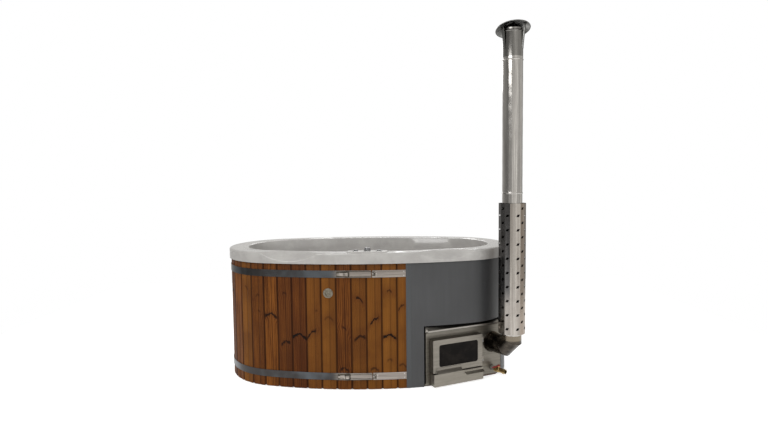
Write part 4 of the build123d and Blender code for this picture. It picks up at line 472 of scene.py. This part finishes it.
def wear_cad(material, *names, bevel=0.0, crisp=32):
    """Gives CAD nodes their finish, joins their loose triangles, rounds edges and keeps corners crisp."""
    for name in names:
        piece = nodes[name]
        mesh = piece.data
        mesh.materials.clear()
        mesh.materials.append(material)
        if "custom_normal" in mesh.attributes:
            mesh.attributes.remove(mesh.attributes["custom_normal"])
        mesh.polygons.foreach_set("use_smooth", np.ones(len(mesh.polygons), bool))
        mesh.polygons.foreach_set("material_index", np.zeros(len(mesh.polygons), np.int32))
        joined = piece.modifiers.new("joined", "WELD")
        joined.merge_threshold = WELD_REACH
        if bevel:
            flats = piece.modifiers.new("flats", "DECIMATE")
            flats.decimate_type = "DISSOLVE"
            flats.angle_limit = math.radians(FLAT_WITHIN)
            edge = piece.modifiers.new("edge", "BEVEL")
            edge.width = bevel
            edge.segments = EDGE_SEGMENTS
            edge.limit_method = "ANGLE"
            edge.angle_limit = math.radians(crisp)
            even = piece.modifiers.new("even", "WEIGHTED_NORMAL")
            even.keep_sharp = True
        else:
            crisp_corners(piece, crisp)


def stretched(tree, place, scale):
    """A place scaled along each direction, for a pattern with a grain."""
    return step(tree, "Mapping", place, None, None, scale).outputs[0]


def cloudy_finish(name, first, second, scale, detail, roughness=None, grain=None, band=None, relief=None,
                  **constants):
    """A finish that drifts between two colours with one noise over the object.

    grain stretches the noise, band is the part of the noise over which the colour changes, and relief is
    the strength and distance by which the noise raises the surface.
    """
    material, tree, shader = new_finish(name, **constants)
    place = step(tree, "TexCoord").outputs["Object"]
    if grain:
        place = stretched(tree, place, grain)
    cloud = clouds(tree, place, scale, detail, roughness)
    share = ramp(tree, cloud, *band) if band else cloud
    tree.links.new(shade_between(tree, share, first, second), shader.inputs["Base Color"])
    if relief:
        emboss(tree, shader, *relief, cloud)
    return material


timber = cloudy_finish("sawn_timber", (0.42, 0.28, 0.15, 1), (0.62, 0.45, 0.27, 1), 1.0, 5.0, 0.6,
                       grain=(60, 60, 3), relief=(0.4, 0.001), Roughness=0.75)
wear_cad(timber, "bearers", "lower_rail", "upper_rail", "studs")
board_film = cloudy_finish("film_faced_board", (0.060, 0.032, 0.020, 1), (0.095, 0.052, 0.032, 1),
                           35.0, 4.0, 0.7, Roughness=0.55)
wear_cad(board_film, "base_plate")


# Casing: painted sheet steel round the stove end, screwed to the rails, with a cut-out for the stove.
# The paint is a dark satin grey, slightly cloudy, with fine upright roller streaks. Towards the
# tub's right end it is darkened with painted shade.

casing_paint, tree, shader = new_finish("grey_casing_paint", Specular_IOR_Level=0.42)
place = step(tree, "TexCoord").outputs["Object"]
streak = clouds(tree, stretched(tree, place, (22, 22, 0.9)), 1.0, 4.0, 0.6)
cloud = clouds(tree, place, 2.6, 3.0, 0.5)
along_casing = step(tree, "SeparateXYZ", place).outputs[0]
tint = shade_between(tree, streak, (0.033, 0.0338, 0.0354, 1), (0.066, 0.067, 0.0695, 1))
tint = laid_over(tree, ramp(tree, cloud, 0.38, 0.68), 0.6, tint, (0.037, 0.0375, 0.0390, 1))
# painted shade towards the tub's right end
tint = laid_over(tree, ramp(tree, along_casing, 0.58, 0.86), 0.40, tint, (0.026, 0.0265, 0.0275, 1))
tree.links.new(tint, shader.inputs["Base Color"])
tree.links.new(sums(tree, "MULTIPLY_ADD", streak, 0.22, 0.32), shader.inputs["Roughness"])
emboss(tree, shader, 0.05, 0.0004, clouds(tree, place, 420.0, 2.0))
wear_cad(casing_paint, "casing_front", "casing_end", "casing_rear", bevel=0.0006)
trim_paint = cloudy_finish("trim_paint", (0.033, 0.035, 0.037, 1), (0.054, 0.057, 0.060, 1), 1.0, 4.0,
                           grain=(60, 60, 2), Roughness=0.38)
wear_cad(trim_paint, "casing_trims", bevel=0.0004)


# Hoops: cold-rolled stainless strap pulled tight round the boards and closed by draw latches.
# The strap is painted with a dark bluish reflection round the left end, and keeps its brighter tone at the
# latches.

def steel_finish(name, dark, bright, roughness, grain, relief=0.12, tint=None):
    """Rolled stainless: tone and roughness follow long streaks, with a few handling smudges.

    tint, where given, is a function that takes the nodes, the place and the tone and returns the colour.
    """
    material, tree, shader = new_finish(name, Metallic=1.0)
    place = step(tree, "TexCoord").outputs["Object"]
    long_streak = clouds(tree, stretched(tree, place, grain), 1.0, 5.0, 0.62)
    smudge = clouds(tree, place, 9.0, 4.0, 0.6)
    tone = shade_between(tree, ramp(tree, long_streak, 0.30, 0.72), dark, bright)
    tone = laid_over(tree, ramp(tree, smudge, 0.52, 0.72), 0.35, tone, dark)
    colour = tint(tree, place, tone) if tint else tone
    tree.links.new(colour, shader.inputs["Base Color"])
    uneven = sums(tree, "MULTIPLY_ADD", smudge, 0.20, roughness - 0.16)
    uneven = sums(tree, "MULTIPLY_ADD", long_streak, 0.16, uneven)
    tree.links.new(uneven, shader.inputs["Roughness"])
    emboss(tree, shader, relief, 0.0004, long_streak)
    return material


def strap_painted_dark_reflection(tree, place, tone):
    """Painted dark bluish reflection, mottled, which turns to the tone on the front from 0.27 to 0.17 m left
    of the middle.
    """
    spot = step(tree, "SeparateXYZ", place).outputs
    plain_tone_share = sums(tree, "MULTIPLY", ramp(tree, spot[0], -0.27, -0.17), ramp(tree, spot[1], 0.10, -0.20))
    mottle = ramp(tree, clouds(tree, place, 3.2, 3.0, 0.6), 0.38, 0.62)
    # painted dark reflection on the strap away from the latches
    dark_reflection = shade_between(tree, mottle, (0.050, 0.047, 0.046, 1), (0.098, 0.108, 0.118, 1))
    return shade_between(tree, plain_tone_share, dark_reflection, tone)


strap_steel = steel_finish("hoop_strap", (0.215, 0.190, 0.170, 1), (0.36, 0.325, 0.295, 1), 0.30,
                           (3, 3, 160), tint=strap_painted_dark_reflection)
wear_cad(strap_steel, "hoop_upper", "hoop_lower", bevel=0.0004)
rivet_steel = steel_finish("rivet_steel", (0.40, 0.38, 0.36, 1), (0.66, 0.63, 0.60, 1), 0.28, (40, 40, 40))
wear_cad(rivet_steel, "hoop_rivets")


# Draw latches: pressed stainless plates, a lever and a wire bail that pull the two strap ends
# together. The eye and the lever are bright, and the base and the bail are painted dark as shade round the
# lever.

bright_latch = steel_finish("latch_plate", (0.25, 0.225, 0.20, 1), (0.42, 0.385, 0.35, 1), 0.28, (30, 30, 90))
# painted shade: the base and bail are dark to stand for the shade round the lever
latch_painted_shade = steel_finish("latch_lever", (0.050, 0.045, 0.038, 1), (0.140, 0.125, 0.105, 1), 0.30,
                          (30, 30, 90))
for level in ("upper", "lower"):
    wear_cad(bright_latch, f"latch_eye_{level}", f"latch_lever_{level}", bevel=0.0004)
    wear_cad(latch_painted_shade, f"latch_base_{level}", bevel=0.0004)
    wear_cad(latch_painted_shade, f"latch_bail_{level}")


# Basin: one moulded shell of pearl-grey acrylic with a wide rim, glossy, with a faint marbled cloud.
# It hangs by its rim over the boards and the casing, and its foot well stands on the bearers.

pearl, tree, shader = new_finish("pearl_acrylic", Roughness=0.20, IOR=1.49,
                                 Coat_Weight=0.35, Coat_Roughness=0.08)
place = step(tree, "TexCoord").outputs["Object"]
swirl = clouds(tree, place, 7.0, 6.0, 0.62)
vein = clouds(tree, place, 22.0, 5.0, 0.6)
tone = shade_between(tree, ramp(tree, swirl, 0.36, 0.66), (0.365, 0.352, 0.338, 1), (0.430, 0.418, 0.400, 1))
tone = laid_over(tree, ramp(tree, vein, 0.55, 0.72), 0.40, tone, (0.490, 0.480, 0.460, 1))
tree.links.new(tone, shader.inputs["Base Color"])
wear_cad(pearl, "basin_rim", "basin", "basin_well", crisp=50)


# Rim controls: two press buttons and a turning knob on the raised deck at the front.
# The bezels are bright plated rings, the buttons black plastic and the knob grey.

bezel_chrome = steel_finish("bezel_chrome", (0.55, 0.55, 0.55, 1), (0.80, 0.80, 0.80, 1), 0.14,
                            (60, 60, 60), 0.02)
wear_cad(bezel_chrome, "bezels", bevel=0.0003)
button_black = cloudy_finish("button_black", (0.022, 0.022, 0.024, 1), (0.040, 0.040, 0.043, 1), 160.0, 3.0,
                             Roughness=0.25)
wear_cad(button_black, "button_left", "button_right")
knob_grey = cloudy_finish("knob_grey", (0.140, 0.140, 0.145, 1), (0.220, 0.220, 0.225, 1), 120.0, 3.0,
                          Roughness=0.30, Metallic=0.6)
wear_cad(knob_grey, "air_knob", bevel=0.0005)


# Overflow and water fittings: chromed grilles and drain grate in the basin, and a dull cast ring
# with a ridged strainer in the wall. Grey plastic pipes and black rubber hoses run behind.

wear_cad(bezel_chrome, "inlet_grilles", "floor_drain", bevel=0.0004)
cast_fitting = cloudy_finish("dull_cast_fitting", (0.165, 0.145, 0.105, 1), (0.290, 0.270, 0.225, 1),
                             90.0, 4.0, 0.6, band=(0.35, 0.68), relief=(0.25, 0.0006),
                             Metallic=0.7, Roughness=0.52)
wear_cad(cast_fitting, "overflow_fitting", bevel=0.0004)

MOUTH = np.array([-0.280519, -0.545615, 0.686])
MOUTH_FACING = np.array([-0.111457, -0.993769, 0.0])
STRAINER_INSET, STRAINER_RADIUS, STRAINER_PINHOLE, STRAINER_SPOKES = 0.0035, 0.0195, 0.0004, 64
STRAINER_THICKNESS, RIDGE_HEIGHT, RIDGE_SPACING, RIDGED_RADIUS = 0.0012, 0.0005, 0.005, 0.0192


def make_strainer():
    """Round plate in the overflow's mouth: a surface of revolution with ridges in rings.

    Its height over the plate's back is 1.2 mm plus half a millimetre times the cosine of the radius,
    one wave every 5 mm. The edge is a little lower, and the back is flat.
    """
    across_plate = np.array([-MOUTH_FACING[1], MOUTH_FACING[0], 0.0])
    around = np.linspace(0, 2 * math.pi, STRAINER_SPOKES, endpoint=False)
    radius = np.concatenate([np.linspace(STRAINER_PINHOLE, RIDGED_RADIUS, 40),
                             [STRAINER_RADIUS, STRAINER_RADIUS, STRAINER_PINHOLE]])
    height = STRAINER_THICKNESS + RIDGE_HEIGHT * np.cos(2 * math.pi * radius / RIDGE_SPACING)
    height[-3:] = STRAINER_THICKNESS - RIDGE_HEIGHT, 0.0, 0.0
    seat = MOUTH - MOUTH_FACING * STRAINER_INSET
    spokes = np.cos(around)[:, None] * across_plate + np.sin(around)[:, None] * np.array([0.0, 0.0, 1.0])
    points = seat + radius[:, None, None] * spokes + height[:, None, None] * MOUTH_FACING
    faces = skin(points, around=True)[:, ::-1].tolist()
    numbers = np.arange(points.shape[0] * STRAINER_SPOKES)
    faces.append(numbers[:STRAINER_SPOKES].tolist())
    faces.append(numbers[-STRAINER_SPOKES:][::-1].tolist())
    new_piece("overflow_strainer", points, faces, cast_fitting, "tub")


make_strainer()
pipe_grey = cloudy_finish("grey_pipe_plastic", (0.20, 0.19, 0.17, 1), (0.27, 0.26, 0.235, 1), 30.0, 3.0,
                          Roughness=0.5)
wear_cad(pipe_grey, "overflow_pipe", "drain_pipe")
hose_black = cloudy_finish("black_hose_rubber", (0.016, 0.016, 0.016, 1), (0.032, 0.031, 0.030, 1), 50.0, 3.0,
                           Roughness=0.7)
wear_cad(hose_black, "water_pipes")


# Stove front: a bent stainless panel with a folded hood strip over it, a box-shaped door with a
# dark pane, and an ash drawer with its own folded pull.

front_steel = steel_finish("stove_front_steel", (0.135, 0.125, 0.106, 1), (0.200, 0.185, 0.158, 1), 0.36,
                           (4, 4, 90), 0.05)
wear_cad(front_steel, "face_panel", bevel=0.0006)
hood_steel = steel_finish("hood_steel", (0.24, 0.225, 0.20, 1), (0.40, 0.375, 0.34, 1), 0.34,
                          (4, 4, 90), 0.05)
wear_cad(hood_steel, "hood_strip", bevel=0.0006)
door_steel = steel_finish("stove_door_steel", (0.190, 0.175, 0.150, 1), (0.245, 0.226, 0.196, 1), 0.38,
                          (5, 5, 90), 0.04)
wear_cad(door_steel, "door_shell", "door_pull", "glass_clips", bevel=0.0007)
drawer_steel = steel_finish("drawer_steel", (0.225, 0.207, 0.175, 1), (0.265, 0.245, 0.210, 1), 0.40,
                            (5, 5, 90), 0.03)
wear_cad(drawer_steel, "ash_drawer", bevel=0.0007)
hinge_steel = steel_finish("hinge_steel", (0.16, 0.155, 0.15, 1), (0.34, 0.33, 0.31, 1), 0.38, (60, 60, 60))
wear_cad(hinge_steel, "hinge_brackets", "hinge_pins", bevel=0.0003)
pane = cloudy_finish("sooted_pane", (0.0050, 0.0040, 0.0034, 1), (0.0150, 0.0120, 0.0100, 1), 12.0, 4.0, 0.6,
                     band=(0.4, 0.75), Roughness=0.10, IOR=1.5, Specular_IOR_Level=0.06)
wear_cad(pane, "door_glass", bevel=0.0006)


# Firebox: welded plate steel, dark with heat and soot inside, which stands on the floor board.
# A grate of cast iron lies loose in it under the fire.

fire_steel = cloudy_finish("sooted_steel", (0.018, 0.017, 0.016, 1), (0.090, 0.083, 0.076, 1), 8.0, 5.0, 0.65,
                           band=(0.35, 0.7), Roughness=0.75, Metallic=0.55)
wear_cad(fire_steel, "stove_body", bevel=0.0008)
grate_iron = cloudy_finish("grate_iron", (0.020, 0.019, 0.018, 1), (0.050, 0.046, 0.043, 1), 240.0, 4.0, 0.7,
                           relief=(0.5, 0.001), Roughness=0.82, Metallic=0.3)
wear_cad(grate_iron, "fire_grate", bevel=0.0010)


# Flue: thin rolled stainless pipe in push-fit lengths, a mitred elbow and a perforated heat shield,
# with a shallow rain cap on three straps. The elbow is painted dark brown as shade up to its upper weld,
# and the shield's sides carry painted reflections, dark blue to the left and brown to the right.

PIPE_STEEL = ((0.34, 0.325, 0.308, 1), (0.58, 0.56, 0.53, 1), 0.16, (55, 55, 1.6), 0.05)
FLUE_X, FLUE_Y, PIPE_RADIUS, PIPE_WALL = 1.0260074, -0.4420134, 0.070, 0.001
PIPE_FOOT, PIPE_JOINT, PIPE_TOP, RING_SPACING = 0.352, 1.385, 2.308, 0.012
BEAD_DROP, BEAD_REACH, BEAD_RISE, BEAD_ROOM = 0.020, 0.006, 0.0035, 0.027
SPIGOT_RADIUS, SPIGOT_LENGTH, SPIGOT_LIP = 0.0684, 0.045, 0.0698
SHEET_WAVES, WAVE_RISE, WAVE_END = 4, 0.000020, 0.03
SHIELD_FOOT, SHIELD_TOP = 0.366, 1.290
UPPER_WELD, ELBOW_TOP = 0.306, 0.322

flue_steel = steel_finish("flue_steel", *PIPE_STEEL)
wear_cad(flue_steel, "shield_spacers")
# The sleeve is a darker copy of the pipe steel: painted shade under the cap.
sleeve_shade_steel = steel_finish("sleeve_shade_steel", (0.155, 0.150, 0.140, 1), (0.275, 0.265, 0.25, 1), 0.22,
                            (55, 55, 3), 0.05)
wear_cad(sleeve_shade_steel, "cap_sleeve")
# The cap and its legs are painted dark as the shade under the cap.
cap_shade_steel = steel_finish("shaded_cap_steel", (0.105, 0.105, 0.100, 1), (0.24, 0.24, 0.23, 1), 0.26,
                         (25, 25, 25), 0.1)
wear_cad(cap_shade_steel, "cap_cone", "cap_legs")
turns = np.linspace(0, 2 * math.pi, 128, endpoint=False)


def closed_skin(points):
    """Four-cornered faces over rings of points that close on themselves both ways."""
    rings = np.concatenate([points, points[:1]])
    faces = skin(rings, around=True)
    return faces % (points.shape[0] * points.shape[1])


def make_pipe(node, bottom, top, seed, steel):
    """A push-fit pipe, spun about the flue's axis.

    The outside is the pipe's radius, plus a rounded bead of (1 + cos) / 2 near the top, plus waves of a
    tenth of a millimetre, the sum of four sines that run up and round the pipe, as thin rolled sheet has.
    Below the bottom it steps in to the spigot. The inside follows one sheet's thickness within it.
    """
    middle = top - BEAD_DROP
    plain = np.linspace(bottom + PIPE_WALL, top - BEAD_ROOM, int((top - bottom) / RING_SPACING))
    tall = np.concatenate([plain, middle + BEAD_REACH * np.linspace(-1, 1, 9), [top]])
    bead = BEAD_RISE * 0.5 * (1 + np.cos(np.pi * np.clip((tall - middle) / BEAD_REACH, -1, 1)))
    bore = SPIGOT_RADIUS - PIPE_WALL
    spigot_end = bottom - SPIGOT_LENGTH
    radius = np.concatenate([[bore, SPIGOT_RADIUS, SPIGOT_RADIUS, SPIGOT_LIP], PIPE_RADIUS + bead,
                             (PIPE_RADIUS - PIPE_WALL + bead)[::-1], [bore]])
    height = np.concatenate([[spigot_end, spigot_end, bottom, bottom], tall,
                             tall[::-1], [bottom + 2 * PIPE_WALL]])
    source = np.random.default_rng(seed)
    waves = np.zeros((len(height), len(turns)))
    for _ in range(SHEET_WAVES):
        round_count, length = source.integers(1, 6), source.uniform(0.07, 0.30)
        phase = round_count * turns + 2 * math.pi * height[:, None] / length + source.uniform(0, 6.28)
        waves += np.sin(phase) / length
    waves *= WAVE_RISE * ((height > bottom + PIPE_WALL) & (height < top - WAVE_END))[:, None]
    reach = radius[:, None] + waves
    points = np.stack([FLUE_X + reach * np.cos(turns), FLUE_Y + reach * np.sin(turns),
                       np.broadcast_to(height[:, None], reach.shape)], -1)
    piece = new_piece(node + "_rolled", points, closed_skin(points), steel, "tub", [node])
    crisp_corners(piece, 40)


def dark_in_shield(tree, place, tone):
    """The tone, but painted dark as shade over the height that the shield covers."""
    height = step(tree, "SeparateXYZ", place).outputs[2]
    above = ramp(tree, height, SHIELD_TOP - 0.020, SHIELD_TOP)
    covered = sums(tree, "MULTIPLY", ramp(tree, height, SHIELD_FOOT, SHIELD_FOOT + 0.004),
                   sums(tree, "SUBTRACT", 1.0, above))
    return shade_between(tree, covered, tone, (0.020, 0.018, 0.016, 1))


def elbow_painted_shade(tree, place, tone):
    """The dark tone, painted shade, up to the upper weld, and a paler brown on the riser above it."""
    height = step(tree, "SeparateXYZ", place).outputs[2]
    return shade_between(tree, ramp(tree, height, UPPER_WELD, ELBOW_TOP), tone, (0.185, 0.158, 0.122, 1))


# painted shade on the elbow
elbow_shade_steel = steel_finish("elbow_shade_steel", (0.030, 0.026, 0.022, 1), (0.085, 0.073, 0.060, 1), 0.24,
                            (30, 30, 30), 0.05, tint=elbow_painted_shade)
shaded_steel = steel_finish("shaded_pipe_steel", *PIPE_STEEL, tint=dark_in_shield)
make_pipe("lower_pipe", PIPE_FOOT, PIPE_JOINT, 5, shaded_steel)
make_pipe("upper_pipe", PIPE_JOINT, PIPE_TOP, 8, flue_steel)

OUT = np.array([0.592294465, -0.805721582, 0.0])
FACE_NORMAL = np.array([0.398749069, -0.917060074, 0.0])
UPWARD = np.array([0.0, 0.0, 1.0])
SIDEWAYS = np.cross(OUT, UPWARD)
STUB_HEIGHT, STUB_REACH, STUB_INSIDE, MITRE_CUT = 0.254, 0.1838, 0.022, 0.062
STUB = np.array([FLUE_X, FLUE_Y, STUB_HEIGHT]) - OUT * STUB_REACH
WELD_STEPS, WELD_SWELL, WELD_CREST = (0.0045, 0.0030, 0.0015), (0.0, 0.0, 0.0007), 0.0009
# Round the collar's section: radius about the stub, and distance from the stove's face
COLLAR_OUTLINE = ((0.0700, 0.0003), (0.0770, 0.0003), (0.0770, 0.0050),
                  (0.0762, 0.0060), (0.0712, 0.0060), (0.0700, 0.0052))


def make_elbow():
    """Stub, slanted middle length and riser, welded on two mitres, and a collar against the stove's face.

    A ring on a straight run lies square to it, at cos(turn) sideways + sin(turn) along the run's outer
    normal, times the radius. On a mitre the outer normal is the mean of both runs' normals over the
    cosine of half their turn. A weld stands 0.9 mm proud of each mitre. The collar's points run along
    the stub to a plane at a given distance from the stove's face.
    """
    slanted = (OUT + UPWARD) / math.sqrt(2)
    runs = (OUT, slanted, UPWARD)
    stops = (STUB - OUT * STUB_INSIDE, STUB + OUT * (STUB_REACH - MITRE_CUT),
             np.array([FLUE_X, FLUE_Y, STUB_HEIGHT + MITRE_CUT]), np.array([FLUE_X, FLUE_Y, PIPE_FOOT]))
    round_cos, round_sin = np.cos(turns)[:, None], np.sin(turns)[:, None]

    def ring(centre, radius, normal):
        return centre + radius * (round_cos * SIDEWAYS + round_sin * normal)

    outside, inside = [], []
    for number, run in enumerate(runs):
        normal = np.cross(run, SIDEWAYS)
        first, last = stops[number], stops[number + 1]
        for end, sign, at_mitre in ((first, 1, number > 0), (last, -1, number < 2)):
            other = np.cross(runs[number - 1] if sign == 1 else runs[min(number + 1, 2)], SIDEWAYS)
            mean = (normal + other) / 2
            slope = mean / mean.dot(mean) if at_mitre else normal
            back, swell = (WELD_STEPS, WELD_SWELL) if at_mitre else ((0.0,), (0.0,))
            rings = [ring(end + run * sign * gap, PIPE_RADIUS + proud, slope)
                     for gap, proud in zip(back, swell)]
            outside += rings if sign == -1 else rings[::-1]
            inside.append(ring(end, PIPE_RADIUS - PIPE_WALL, slope))
            if sign == -1 and at_mitre:
                outside.append(ring(end, PIPE_RADIUS + WELD_CREST, slope))
    # Both runs at a mitre gave the bore a ring there, and it needs one of them
    rings = np.array(outside + [inside[k] for k in (5, 3, 1, 0)])
    collar = []
    for radius, proud in COLLAR_OUTLINE:
        around = radius * (round_cos * SIDEWAYS + round_sin * np.cross(OUT, SIDEWAYS))
        run = (proud - around.dot(FACE_NORMAL)) / OUT.dot(FACE_NORMAL)
        collar.append(STUB + around + OUT * run[:, None])
    collar = np.array(collar)[::-1]
    faces = np.concatenate([closed_skin(rings), closed_skin(collar) + rings.shape[0] * rings.shape[1]])
    points = np.concatenate([rings.reshape(-1, 3), collar.reshape(-1, 3)])
    piece = new_piece("flue_elbow_welded", points, faces, elbow_shade_steel, "tub", ["flue_elbow"])
    crisp_corners(piece, 38)


make_elbow()

# The shield's facets by the way they face from the flue's axis, as an angle in radians, where its painted
# reflections begin
BLUE_REFLECTION_BEFORE, BROWN_REFLECTION_AFTER = -1.96, -1.18


def shield_painted_reflections(tree, place, tone):
    """The tone, with painted reflections: dark blue on the facets to the left, most of all up high, and brown
    on those to the right.
    """
    spot = step(tree, "SeparateXYZ", place).outputs
    facing = sums(tree, "ARCTAN2", sums(tree, "ADD", spot[1], -FLUE_Y), sums(tree, "ADD", spot[0], -FLUE_X))
    blue_reflection = sums(tree, "SUBTRACT", 1.0, ramp(tree, facing, BLUE_REFLECTION_BEFORE - 0.005, BLUE_REFLECTION_BEFORE + 0.005))
    up_high = sums(tree, "MULTIPLY_ADD", ramp(tree, spot[2], 0.54, 0.70), 0.62, 0.15)
    tone = laid_over(tree, blue_reflection, up_high, tone, (0.040, 0.043, 0.050, 1))
    brown_reflection = ramp(tree, facing, BROWN_REFLECTION_AFTER - 0.01, BROWN_REFLECTION_AFTER + 0.01)
    return laid_over(tree, brown_reflection, 0.55, tone, (0.210, 0.155, 0.110, 1))


shield_steel = steel_finish("shield_steel", (0.26, 0.235, 0.210, 1), (0.46, 0.430, 0.395, 1), 0.20,
                            (40, 40, 1.5), 0.1, tint=shield_painted_reflections)
wear_cad(shield_steel, "heat_shield", crisp=12)


# Drain valve: a forged brass ball valve and a hexagonal outlet with a spout, screwed to the drain
# pipe. Its steel lever is dipped in red plastic.

valve_brass = cloudy_finish("valve_brass", (0.22, 0.155, 0.06, 1), (0.46, 0.34, 0.15, 1), 60.0, 4.0, 0.6,
                            band=(0.35, 0.7), Metallic=1.0, Roughness=0.34)
wear_cad(valve_brass, "valve_body", "outlet_nut", bevel=0.0005)
lever_red = cloudy_finish("lever_red", (0.20, 0.012, 0.012, 1), (0.30, 0.022, 0.018, 1), 90.0, 3.0,
                          Roughness=0.30)
wear_cad(lever_red, "valve_handle", bevel=0.0008)
